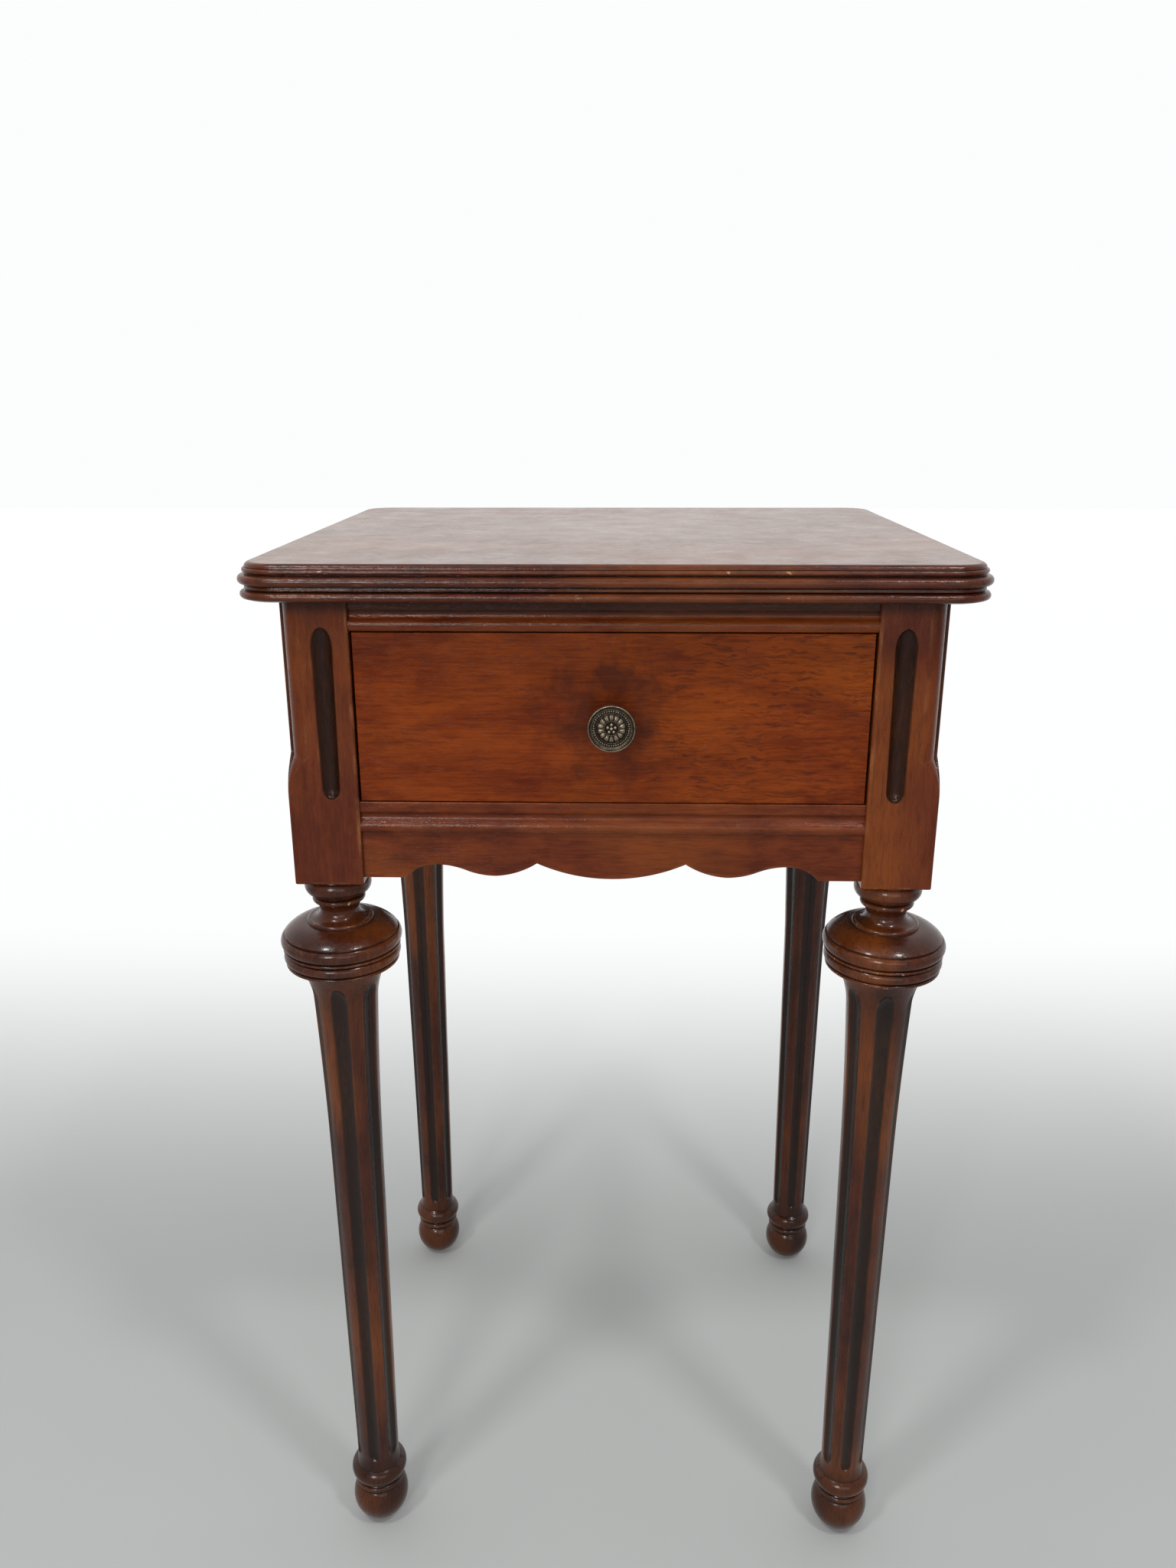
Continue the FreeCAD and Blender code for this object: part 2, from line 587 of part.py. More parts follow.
# ------------------------------------------------------------------ all pieces
def main():
    """Build every piece and write it."""
    os.makedirs("parts", exist_ok=True)
    save("table_top", table_top())
    for end_name, end in ENDS.items():
        for side_name, side in SIDES.items():
            save(end_name + "_" + side_name + "_post", post(side, end))
            save(end_name + "_" + side_name + "_leg", leg(side, end))
    save("upper_rail", front_rail(UPPER_RAIL_Z, TOP_UNDERSIDE_Z - UPPER_RAIL_Z).cut(top_screws()))
    save("lower_rail", front_rail(LOWER_RAIL_Z, RAIL_HEIGHT))
    save("front_apron", front_apron())
    save("apron_glue_blocks", apron_glue_blocks())
    save("back_panel", back_panel())
    for side_name, side in SIDES.items():
        save(side_name + "_side_panel", side_panel(side))
        save(side_name + "_runner", runner(side))
        save(side_name + "_guide", guide(side))
        save(side_name + "_kicker", kicker(side))
        save("drawer_" + side_name + "_side", drawer_side(side))
    save("drawer_stops", drawer_stops())
    save("rail_dowels", carcass_dowels("rail"))
    save("panel_dowels", carcass_dowels("panel"))
    save("top_screws", top_screws())
    save("runner_screws", runner_screws())
    save("drawer_front", drawer_front())
    save("drawer_back", drawer_back())
    save("drawer_bottom", drawer_bottom())
    save("drawer_bottom_nails", drawer_bottom_nails())
    save("knob_head", knob_head())
    save("knob_stem", knob_stem())
    save("knob_washer", knob_washer())
    save("knob_bolt", knob_bolt())


main()
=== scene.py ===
"""Visual model of a mahogany side table with one drawer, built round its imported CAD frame.

Every size in this file is in millimetres and every mesh is written in metres, in the frame of
the CAD model: origin on the floor under the middle, +X right, +Y back, +Z up.
"""
from __future__ import annotations

import logging
import math
from dataclasses import dataclass
from enum import Enum
from typing import ClassVar, Sequence

import bpy
import numpy as np
from mathutils import Matrix, Vector


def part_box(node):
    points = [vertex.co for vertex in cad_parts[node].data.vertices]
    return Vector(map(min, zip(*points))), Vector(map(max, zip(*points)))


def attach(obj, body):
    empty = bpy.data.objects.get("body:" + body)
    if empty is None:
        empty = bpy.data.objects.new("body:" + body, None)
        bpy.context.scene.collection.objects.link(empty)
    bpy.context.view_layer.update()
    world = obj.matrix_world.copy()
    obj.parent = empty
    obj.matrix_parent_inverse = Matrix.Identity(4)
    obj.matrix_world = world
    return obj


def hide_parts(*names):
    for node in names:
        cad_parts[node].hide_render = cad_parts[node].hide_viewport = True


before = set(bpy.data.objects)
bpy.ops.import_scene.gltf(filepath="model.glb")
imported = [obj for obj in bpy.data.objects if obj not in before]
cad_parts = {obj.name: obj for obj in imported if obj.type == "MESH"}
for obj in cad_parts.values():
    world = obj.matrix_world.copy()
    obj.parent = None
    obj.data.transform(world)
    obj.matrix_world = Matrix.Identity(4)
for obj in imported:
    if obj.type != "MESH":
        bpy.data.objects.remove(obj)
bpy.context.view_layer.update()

MM = 0.001
SEED = 7
WANDER_MM = 13.0  # spacing of the wandering that bends the grain
QUARTERS = ((1, 1), (-1, 1), (-1, -1), (1, -1))
LOG = logging.getLogger("side_table")

Pair = tuple[float, float]
Socket = bpy.types.NodeSocket
Tree = bpy.types.NodeTree
Material = bpy.types.Material
Piece = bpy.types.Object


class Side(Enum):
    """Left and right of the table, as the sign of X."""

    LEFT = -1
    RIGHT = 1


class End(Enum):
    """Front and rear of the table, as the sign of Y."""

    FRONT = -1
    REAR = 1


class Grain(Enum):
    """Which way a piece's grain runs, as an axis index."""

    ALONG_X = 0
    ALONG_Y = 1
    ALONG_Z = 2


# ---------------------------------------------------------------------------- outlines
@dataclass(frozen=True)
class Line:
    """Straight stretch of an outline up to a point."""

    end: Pair


@dataclass(frozen=True)
class Bend:
    """Circular stretch of an outline through one point up to another."""

    via: Pair
    end: Pair


def circle_stretch(start: Pair, bend: Bend, pitch: float) -> np.ndarray:
    """Points on the circle through three points, from start to bend.end.

    The centre is where the two chords' perpendicular bisectors cross, and the angle runs the way
    that passes bend.via.

    Args:
        start: first point.
        bend: the point passed and the last point.
        pitch: largest distance between points.

    Returns:
        Array of (n, 2) points without the first.
    """
    first, middle, last = (np.array(p, float) for p in (start, bend.via, bend.end))
    chords = np.array([middle - first, last - first])
    centre = np.linalg.solve(chords, 0.5 * (chords * (chords + 2 * first)).sum(1))
    radius = np.linalg.norm(first - centre)
    angles = [math.atan2(*(p - centre)[::-1]) for p in (first, middle, last)]
    turn = (angles[2] - angles[0]) % math.tau
    passed = (angles[1] - angles[0]) % math.tau
    if passed > turn:
        turn -= math.tau
    steps = max(3, math.ceil(abs(turn) * radius / pitch))
    swing = angles[0] + turn * np.arange(1, steps + 1) / steps
    return centre + radius * np.stack([np.cos(swing), np.sin(swing)], 1)


def trace(start: Pair, parts: Sequence[Line | Bend], pitch: float) -> np.ndarray:
    """Points along an outline of straight and circular stretches.

    Args:
        start: first point.
        parts: the stretches in order.
        pitch: largest distance between points.

    Returns:
        Array of (n, 2) points.
    """
    points = [np.array([start], float)]
    for part in parts:
        here = points[-1][-1]
        if isinstance(part, Bend):
            points.append(circle_stretch(tuple(here), part, pitch))
        else:
            run = np.array(part.end, float) - here
            steps = max(1, math.ceil(np.linalg.norm(run) / pitch))
            points.append(here + run * (np.arange(1, steps + 1) / steps)[:, None])
    return np.concatenate(points)


def relief(profile: np.ndarray, reach: float) -> np.ndarray:
    """How far each point of a profile stands proud of (+) or below (-) the same profile, smoothed.

    The profile is resampled evenly by its length, averaged over a window of that reach, and the
    offset from the average is measured along the outward normal, the direction of travel turned
    a quarter to the right.

    Args:
        profile: (n, 2) points of (outwards, along) that run upwards.
        reach: length of the averaging window.

    Returns:
        Array of n signed heights.
    """
    steps = np.linalg.norm(np.diff(profile, axis=0), axis=1)
    along = np.concatenate([[0.0], np.cumsum(steps)])
    half_window = 12
    pitch = reach / (2 * half_window)
    even = np.arange(0.0, along[-1] + pitch, pitch)
    samples = np.stack([np.interp(even, along, profile[:, k]) for k in (0, 1)], 1)
    padded = np.pad(samples, ((half_window, half_window), (0, 0)), mode="edge")
    kernel = np.hanning(2 * half_window + 1)
    kernel /= kernel.sum()
    mean = np.stack([np.convolve(padded[:, k], kernel, "valid") for k in (0, 1)], 1)
    tangent = np.gradient(mean, axis=0)
    tangent /= np.linalg.norm(tangent, axis=1)[:, None] + 1e-9
    normal = np.stack([tangent[:, 1], -tangent[:, 0]], 1)
    height = ((samples - mean) * normal).sum(1)
    return np.interp(along, even, height)


def lattice_noise(points: np.ndarray, size: Sequence[float], seed: int) -> np.ndarray:
    """Smooth random values between -1 and 1: a random lattice read by eased trilinear steps.

    Args:
        points: (..., 3) places.
        size: lattice spacing along each axis.
        seed: which lattice.

    Returns:
        Array of the points' shape without its last axis.
    """
    cells = 32
    lattice = np.random.default_rng(SEED + seed).uniform(-1, 1, (cells, cells, cells))
    scaled = points / np.array(size, float)
    low = np.floor(scaled).astype(int)
    part = scaled - low
    part = part * part * (3 - 2 * part)
    total = np.zeros(points.shape[:-1])
    for corner in np.ndindex(2, 2, 2):
        weight = np.ones(points.shape[:-1])
        index = []
        for axis, step in enumerate(corner):
            weight = weight * (part[..., axis] if step else 1 - part[..., axis])
            index.append((low[..., axis] + step) % cells)
        total += weight * lattice[tuple(index)]
    return total


# ---------------------------------------------------------------------------- meshes
def skin(name: str, rings: np.ndarray, marks: dict[str, np.ndarray],
         sharp_degrees: float = 40.0) -> Piece:
    """Closed piece from a stack of closed rings, with a fan over each end.

    Args:
        name: the piece's name.
        rings: (stack, around, 3) places in millimetres.
        marks: point attributes, each (stack, around), such as "wear" and "stain".
        sharp_degrees: edges that turn more than this are shaded sharp.

    Returns:
        The new object, at the origin, with its faces outwards.
    """
    stack, around = rings.shape[:2]
    index = np.arange(stack * around).reshape(stack, around)
    nearer, further = index[:-1], index[1:]
    quads = np.stack([nearer, np.roll(nearer, -1, 1), np.roll(further, -1, 1), further], -1)
    quads = quads.reshape(-1, 4)
    first_hub = stack * around
    low_fan = np.stack([np.full(around, first_hub), np.roll(index[0], -1), index[0]], -1)
    high_fan = np.stack([np.full(around, first_hub + 1), index[-1], np.roll(index[-1], -1)], -1)
    fans = np.concatenate([low_fan, high_fan])
    hubs = np.stack([rings[0].mean(0), rings[-1].mean(0)])
    places = np.concatenate([rings.reshape(-1, 3), hubs]) * MM
    corners = np.concatenate([quads[:, [0, 1, 2]], quads[:, [0, 2, 3]], fans])
    volume = np.einsum("ij,ij->i", places[corners[:, 0]],
                       np.cross(places[corners[:, 1]], places[corners[:, 2]])).sum()
    if volume < 0:
        quads, fans = quads[:, ::-1], fans[:, ::-1]
    mesh = bpy.data.meshes.new(name)
    mesh.from_pydata(places.tolist(), [], quads.tolist() + fans.tolist())
    for mark, values in marks.items():
        filled = np.concatenate([values.reshape(-1), [values[0].mean(), values[-1].mean()]])
        layer = mesh.attributes.new(mark, "FLOAT", "POINT")
        layer.data.foreach_set("value", filled.astype(np.float32))
    mesh.shade_smooth()
    mesh.set_sharp_from_angle(angle=math.radians(sharp_degrees))
    mesh.update()
    piece = bpy.data.objects.new(name, mesh)
    bpy.context.scene.collection.objects.link(piece)
    return piece


def stand_for(piece: Piece, body: str, node: str) -> Piece:
    """Let a piece ride on a body and stand for a CAD node.

    Args:
        piece: the finished piece.
        body: the CAD body that carries it.
        node: the CAD node that it replaces.

    Returns:
        The same piece.
    """
    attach(piece, body)
    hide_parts(node)
    triangles = sum(len(p.vertices) - 2 for p in piece.data.polygons)
    LOG.info("%s: %d triangles, rides on %s", piece.name, triangles, body)
    return piece


def eased_board(name: str, low: Sequence[float], high: Sequence[float], ease: float,
                grain: Grain) -> Piece:
    """Board with every arris rounded to a small radius.

    A rounded rectangle is carried along the grain. Near each end it shrinks by ease x (1 - cos a)
    while it moves in by ease x (1 - sin a), so the ends are rounded too.

    Args:
        name: the piece's name.
        low: lowest corner.
        high: highest corner.
        ease: radius of the arrises.
        grain: the axis that the section is carried along.

    Returns:
        The board, with "wear" set along its arrises.
    """
    low, high = np.array(low, float), np.array(high, float)
    run = grain.value
    across = [axis for axis in range(3) if axis != run]
    half = (high - low)[across] / 2
    middle = (high + low)[across] / 2
    support = 2.5  # from an arris to the ring or column that holds the flat beside it
    ring_pitch = 12.0
    swing = np.radians([90, 60, 30, 0])
    inset = np.concatenate([ease * (1 - np.cos(swing)), [0.0, 0.0]])
    inset[0] = ease
    depth = np.concatenate([ease * (1 - np.sin(swing)), [ease + support, ease + 3 * support]])
    length = high[run] - low[run]
    inner = np.linspace(depth[-1], length - depth[-1], max(3, int(length / ring_pitch)))[1:-1]
    place = np.concatenate([depth, inner, length - depth[::-1]])
    shrink = np.concatenate([inset, np.zeros(len(inner)), inset[::-1]])
    end_rub = np.array([0.7, 1, 1, 0.8, 0, 0])
    end_wear = np.concatenate([end_rub, np.zeros(len(inner)), end_rub[::-1]])
    corner = np.radians([0, 30, 60, 90])
    unit, offset, edge_wear = [], [], []
    for quarter, (sx, sy) in enumerate(QUARTERS):
        swing = corner + quarter * math.pi / 2
        points = ease * np.stack([np.cos(swing) - sx, np.sin(swing) - sy], 1)
        lead = -support * np.array([[0, sy], [sx, 0]] if quarter % 2 == 0 else [[sx, 0], [0, sy]])
        unit += [(sx, sy)] * 6
        offset += [points[0] + lead[0], *points, points[-1] + lead[1]]
        edge_wear += [0, 0.8, 1, 1, 0.8, 0]
    unit, offset = np.array(unit, float), np.array(offset)
    reach = half[None, None, :] - shrink[:, None, None]
    flat = middle + unit[None] * reach + offset[None] * np.minimum(1, reach / (ease + support))
    rings = np.zeros((len(place), len(unit), 3))
    rings[..., across] = flat
    rings[..., run] = low[run] + place[:, None]
    wear = np.maximum(end_wear[:, None], np.array(edge_wear)[None, :])
    return skin(name, rings, {"wear": wear, "stain": np.zeros_like(wear)})


# ---------------------------------------------------------------------------- materials
def linear(hex_colour: str) -> tuple[float, float, float, float]:
    """The linear colour of an sRGB hex value such as "#6b2d16"."""
    parts = [int(hex_colour[k:k + 2], 16) / 255 for k in (1, 3, 5)]
    return (*[c / 12.92 if c <= 0.04045 else ((c + 0.055) / 1.055) ** 2.4 for c in parts], 1.0)


def per_mm(size: float) -> float:
    """The scale that gives a pattern on metres a feature of this size in millimetres."""
    return 1.0 / (size * MM)


def plug(tree: Tree, node: bpy.types.Node, inputs: dict) -> None:
    """Link a node's inputs to sockets, or set them to values.

    Args:
        tree: the node tree.
        node: the node.
        inputs: socket name or number to a value or to another node's output.
    """
    for key, value in inputs.items():
        if isinstance(value, Socket):
            tree.links.new(value, node.inputs[key])
        else:
            node.inputs[key].default_value = value


def add_node(tree: Tree, kind: str, inputs: dict | None = None,
             **settings: object) -> bpy.types.Node:
    """Add a node, set it up and link it.

    Args:
        tree: the material's node tree.
        kind: the node's type name.
        inputs: socket name or number to a value or to another node's output.
        settings: attributes of the node.

    Returns:
        The node.
    """
    node = tree.nodes.new(kind)
    for key, value in settings.items():
        setattr(node, key, value)
    plug(tree, node, inputs or {})
    return node


def node_material(name: str) -> tuple[Material, Tree, bpy.types.Node]:
    """A new material with nodes.

    Args:
        name: the real finish.

    Returns:
        The material, its node tree and its shader.
    """
    made = bpy.data.materials.new(name)
    made.use_nodes = True
    return made, made.node_tree, made.node_tree.nodes["Principled BSDF"]


def blend_colour(tree: Tree, factor: Socket | float, first: object, second: object) -> Socket:
    """Mix two colours, each a socket or a linear colour, by a factor."""
    node = add_node(tree, "ShaderNodeMix", {0: factor, 6: first, 7: second}, data_type="RGBA")
    return node.outputs[2]


def spread(tree: Tree, value: Socket, low: float, high: float, to_low: float = 0.0,
           to_high: float = 1.0) -> Socket:
    """Stretch a value from one range to another, with both ends held.

    Args:
        tree: the material's node tree.
        value: what is stretched.
        low, high: the range that it comes from.
        to_low, to_high: the range that it goes to.

    Returns:
        The stretched value.
    """
    names = ("Value", "From Min", "From Max", "To Min", "To Max")
    levels = dict(zip(names, (value, low, high, to_low, to_high)))
    return add_node(tree, "ShaderNodeMapRange", levels).outputs["Result"]


def sums(tree: Tree, operation: str, first: object, second: object) -> Socket:
    """One step of arithmetic on sockets or numbers."""
    return add_node(tree, "ShaderNodeMath", {0: first, 1: second}, operation=operation).outputs[0]


def mark(tree: Tree, name: str) -> Socket:
    """The value of a point attribute of the mesh."""
    return add_node(tree, "ShaderNodeAttribute", attribute_name=name).outputs["Fac"]


def object_place(tree: Tree) -> Socket:
    """Object coordinates, which are metres in the table's own frame."""
    return add_node(tree, "ShaderNodeTexCoord").outputs["Object"]


def stretched_place(tree: Tree, grain: Grain, ratio: float, turn: float = 0.0,
                    wave_mm: float = 0.0) -> Socket:
    """Object coordinates squeezed along the grain, so that a pattern is longer that way.

    Args:
        tree: the material's node tree.
        grain: the axis along which the pattern is drawn out.
        ratio: how many times longer than wide a feature is.
        turn: lean of the pattern, in radians.
        wave_mm: how far a wandering wave pushes the pattern sideways first.

    Returns:
        The coordinates.
    """
    place = object_place(tree)
    if wave_mm:
        wander = add_node(tree, "ShaderNodeTexNoise",
                          {"Vector": place, "Scale": per_mm(WANDER_MM), "Detail": 1.0})
        push = wander.outputs["Color"]
        for operation, by in (("SUBTRACT", 0.5), ("MULTIPLY", 2 * wave_mm * MM)):
            push = add_node(tree, "ShaderNodeVectorMath", {0: push, 1: (by, by, by)},
                            operation=operation).outputs[0]
        place = add_node(tree, "ShaderNodeVectorMath", {0: place, 1: push},
                         operation="ADD").outputs[0]
    scale = [1.0, 1.0, 1.0]
    scale[grain.value] = 1.0 / ratio
    lean = [0.0, 0.0, 0.0]
    lean[(grain.value + 1) % 3] = turn
    return add_node(tree, "ShaderNodeMapping",
                    {"Vector": place, "Scale": scale, "Rotation": lean}).outputs[0]


def cloud(tree: Tree, place: Socket, size: float, detail: float, rough: float = 0.5,
          warp: float = 0.0) -> Socket:
    """Noise whose features are about size millimetres across.

    Args:
        tree: the material's node tree.
        place: the coordinates that it reads.
        size: width of a feature in millimetres.
        detail: how many finer octaves it has.
        rough: how strong the finer octaves are.
        warp: how far it is distorted.

    Returns:
        A value about 0.5.
    """
    return add_node(tree, "ShaderNodeTexNoise",
                    {"Vector": place, "Scale": per_mm(size), "Detail": detail, "Roughness": rough,
                     "Distortion": warp}).outputs["Fac"]


def soft_patch(tree: Tree, middle_mm: Sequence[float], squeeze: Sequence[float], waver: Socket,
               levels: Sequence[float]) -> Socket:
    """Mask of a round patch with a wavering, soft edge.

    The distance from the middle is measured on squeezed coordinates and moved to and fro by the
    waver. The mask is full up to the core and falls to nothing at the rim.

    Args:
        tree: the material's node tree.
        middle_mm: the patch's middle.
        squeeze: how much each axis counts. 0 leaves it out.
        waver: noise that moves the edge.
        levels: reach of the waver, core and rim in millimetres, and the mask's full strength.

    Returns:
        The mask.
    """
    reach, core, rim, strength = levels
    away = [-part * weight * MM for part, weight in zip(middle_mm, squeeze)]
    near = add_node(tree, "ShaderNodeMapping",
                    {"Vector": object_place(tree), "Location": away, "Scale": squeeze}).outputs[0]
    distance = add_node(tree, "ShaderNodeVectorMath", {0: near}, operation="LENGTH")
    moved = sums(tree, "ADD", distance.outputs["Value"],
                 spread(tree, waver, 0.3, 0.7, -reach * MM, reach * MM))
    return spread(tree, moved, core * MM, rim * MM, strength, 0.0)


def grained(tree: Tree, grain: Grain, size: float, ratio: float, detail: float, rough: float = 0.5,
            warp: float = 0.0, turn: float = 0.0, wave_mm: float = 0.0) -> Socket:
    """Noise with features of size millimetres across the grain and ratio times that along it.

    Args:
        tree: the material's node tree.
        grain: the axis of the grain.
        size: width of a feature in millimetres.
        ratio: how many times longer than wide a feature is.
        detail: how many finer octaves it has.
        rough: how strong the finer octaves are.
        warp: how far it is distorted.
        turn: lean of the pattern, in radians.
        wave_mm: how far a wandering wave pushes it sideways first.

    Returns:
        A value about 0.5.
    """
    place = stretched_place(tree, grain, ratio, turn, wave_mm)
    return cloud(tree, place, size, detail, rough, warp)


def add_shares(tree: Tree, start: Socket, *shares: tuple[Socket, float]) -> Socket:
    """A value plus shares of others.

    Args:
        tree: the material's node tree.
        start: the value.
        shares: what is added, each with its weight.

    Returns:
        The sum.
    """
    for value, weight in shares:
        start = sums(tree, "ADD", start, sums(tree, "MULTIPLY", value, weight))
    return start


@dataclass(frozen=True)
class Lacquered:
    """Mahogany, stained and sprayed with satin nitrocellulose lacquer, now worn on its arrises.

    The dye gives a red-brown ground, the open pores fill dark, and the thin lacquer keeps a soft
    gloss that breaks up where the pores telegraph through it. Each size below is the width of a
    feature of that kind on the wood or in its lacquer.
    """

    TONE_MM: ClassVar[float] = 75.0
    STREAK_MM: ClassVar[float] = 3.2
    CRINKLE_MM: ClassVar[float] = 1.7
    PORE_MM: ClassVar[float] = 0.6
    PORE_DRIFT_MM: ClassVar[float] = 26.0
    WORN_PATCH_MM: ClassVar[float] = 7.0
    RUB_MM: ClassVar[float] = 1.8
    CHIP_MM: ClassVar[float] = 3.4
    CHIP_AREA_MM: ClassVar[float] = 38.0
    GLOSS_DRIFT_MM: ClassVar[float] = 22.0
    PEEL_MM: ClassVar[float] = 0.9
    BUMP_MM: ClassVar[float] = 0.2
    RIPPLE_DARK: ClassVar[str] = "#401708"
    HAND_DARK: ClassVar[str] = "#33140b"
    REFLECTION_PALE: ClassVar[str] = "#c9c0ba"

    name: str
    grain: Grain
    ground: str
    light: str
    dark: str
    warm: str = "#864616"
    pore: str = "#240d07"
    pore_depth: float = 0.3
    worn: str = "#96603a"
    bare: str = "#b9906a"
    # colour of the dark-stained hollows and of the painted shade
    recess: str = "#140c08"
    blotch_mm: float = 24.0
    line_mm: float = 1.3
    wave_mm: float = 0.8
    contrast: float = 1.0
    roughness: float = 0.34
    specular: float = 0.2
    coat: float = 0.0
    coat_roughness: float = 0.16
    speckle: float = 0.35
    wear_amount: float = 0.75
    chips: float = 0.0
    figure: float = 0.0
    painted_reflection: float = 0.0
    halo: float = 0.0

    def material(self) -> Material:
        """Build the node material.

        Returns:
            The finished material.
        """
        made, tree, shader = node_material(self.name)
        colour, pores = self.with_pores(tree, self.wood_colour(tree))
        stain, wear = self.marks(tree)
        colour = blend_colour(tree, wear, colour, linear(self.worn))
        # darker where hollows are dark-stained and where painted shade is laid on
        colour = blend_colour(tree, stain, colour, linear(self.recess))
        rough = self.gloss(tree, pores, wear, stain)
        if self.chips:
            colour = self.with_chips(tree, colour)
        if self.halo:
            colour = self.with_halo(tree, colour)
        if self.painted_reflection:
            colour, rough = self.with_painted_reflection(tree, colour, rough)
        plug(tree, shader, {"Base Color": colour, "Roughness": rough, "IOR": 1.5,
                            "Normal": self.surface(tree, pores),
                            "Specular IOR Level": self.specular, "Coat Weight": self.coat,
                            "Coat Roughness": self.coat_roughness})
        return made

    def wood_colour(self, tree: Tree) -> Socket:
        """Ground colour with clouded tone, blotches, wandering lines and, where asked, ripple.

        Args:
            tree: the material's node tree.

        Returns:
            The colour.
        """
        tone = grained(tree, self.grain, self.TONE_MM, 1.7, 2.0, warp=0.3)
        blotch = grained(tree, self.grain, self.blotch_mm, 2.6, 4.0, 0.62, 0.4, 0.05, 4.0)
        streaks = grained(tree, self.grain, self.STREAK_MM, 7.0, 3.0, 0.6, 0.0, 0.02, self.wave_mm)
        lines = grained(tree, self.grain, self.line_mm, 17.0, 2.0, 0.6, 0.0, 0.015, self.wave_mm)
        swing = 0.5 * self.contrast
        colour = blend_colour(tree, spread(tree, blotch, 0.36, 0.64, 0.5 - swing, 0.5 + swing),
                              linear(self.dark), linear(self.light))
        colour = blend_colour(tree, 0.4, colour, linear(self.ground))
        layers = ((tone, 0.44, 0.66, 0.5, self.warm), (streaks, 0.5, 0.7, 0.35, self.dark),
                  (lines, 0.5, 0.68, 0.4, self.dark), (lines, 0.5, 0.32, 0.3, self.light))
        for noise, low, high, strength, tint in layers:
            mask = spread(tree, noise, low, high, 0.0, strength * self.contrast)
            colour = blend_colour(tree, mask, colour, linear(tint))
        return self.with_figure(tree, colour) if self.figure else colour

    def with_figure(self, tree: Tree, colour: Socket) -> Socket:
        """Short crinkled dark lines across the drawer's right half, where the grain ripples.

        Args:
            tree: the material's node tree.
            colour: the wood's colour.

        Returns:
            The colour with the ripple on it.
        """
        crinkle = grained(tree, self.grain, self.CRINKLE_MM, 9.0, 2.0, 0.55, wave_mm=3.2)
        drift = grained(tree, self.grain, 30.0, 1.4, 2.0)
        sideways = add_node(tree, "ShaderNodeSeparateXYZ", {0: object_place(tree)}).outputs["X"]
        fade = spread(tree, sideways, -10 * MM, 40 * MM, 0.25 * self.figure, self.figure)
        strength = sums(tree, "MULTIPLY", fade, spread(tree, crinkle, 0.52, 0.66))
        strength = sums(tree, "MULTIPLY", strength, spread(tree, drift, 0.3, 0.6, 0.35, 1.0))
        return blend_colour(tree, strength, colour, linear(self.RIPPLE_DARK))

    def with_pores(self, tree: Tree, colour: Socket) -> tuple[Socket, Socket]:
        """Short dark dashes along the grain, in drifts.

        A real pore is 0.2 mm wide. It is drawn about 0.6 mm wide, so that it still shows.

        Args:
            tree: the material's node tree.
            colour: the wood's colour.

        Returns:
            The colour with its pores, and the mask of the pores.
        """
        dashes = grained(tree, self.grain, self.PORE_MM, 12.0, 1.0, turn=0.02, wave_mm=0.5)
        drift = grained(tree, self.grain, self.PORE_DRIFT_MM, 4.0, 1.0)
        pores = sums(tree, "MULTIPLY", spread(tree, dashes, 0.58, 0.72),
                     spread(tree, drift, 0.3, 0.65, 0.2, 1.0))
        depth = sums(tree, "MULTIPLY", pores, self.pore_depth)
        return blend_colour(tree, depth, colour, linear(self.pore)), pores

    def marks(self, tree: Tree) -> tuple[Socket, Socket]:
        """Where hollows are dark, some dark-stained and some with painted shade, and where the
        arrises are worn to pale wood.

        Args:
            tree: the material's node tree.

        Returns:
            The masks of the dark hollows, dark-stained and painted shade, and of the wear.
        """
        patches = grained(tree, self.grain, self.WORN_PATCH_MM, 3.0, 3.0, 0.65)
        rubs = grained(tree, self.grain, self.RUB_MM, 5.0, 2.0, 0.6)
        worn = sums(tree, "MULTIPLY", mark(tree, "wear"),
                    spread(tree, patches, 0.46, 0.66, 0.12, 1.0))
        worn = sums(tree, "MULTIPLY", worn, spread(tree, rubs, 0.35, 0.65, 0.35, self.wear_amount))
        stain = sums(tree, "MULTIPLY", mark(tree, "stain"),
                     spread(tree, rubs, 0.25, 0.75, 1.0, 0.8))
        return stain, worn

    def with_chips(self, tree: Tree, colour: Socket) -> Socket:
        """A few small chips on the worn arrises, down to bare pale wood.

        Args:
            tree: the material's node tree.
            colour: the wood's colour.

        Returns:
            The colour with its chips.
        """
        spots = grained(tree, self.grain, self.CHIP_MM, 2.2, 2.0, 0.6)
        areas = grained(tree, self.grain, self.CHIP_AREA_MM, 1.5, 1.0)
        chip = sums(tree, "MULTIPLY", spread(tree, spots, 0.65, 0.68),
                    spread(tree, areas, 0.52, 0.6))
        edge = spread(tree, mark(tree, "wear"), 0.35, 0.6, 0.0, self.chips)
        return blend_colour(tree, sums(tree, "MULTIPLY", chip, edge), colour, linear(self.bare))

    def gloss(self, tree: Tree, pores: Socket, wear: Socket, stain: Socket) -> Socket:
        """Satin lacquer, duller over pores and worn arrises, glossier where it pooled in hollows.

        Args:
            tree: the material's node tree.
            pores: mask of the pores.
            wear: mask of the worn arrises.
            stain: mask of the dark hollows, dark-stained and painted shade.

        Returns:
            The roughness.
        """
        drift = grained(tree, self.grain, self.GLOSS_DRIFT_MM, 1.0, 3.0, 0.6)
        rough = spread(tree, drift, 0.3, 0.7, self.roughness - 0.05, self.roughness + 0.07)
        return add_shares(tree, rough, (pores, 0.18), (wear, 0.16), (stain, -0.05))

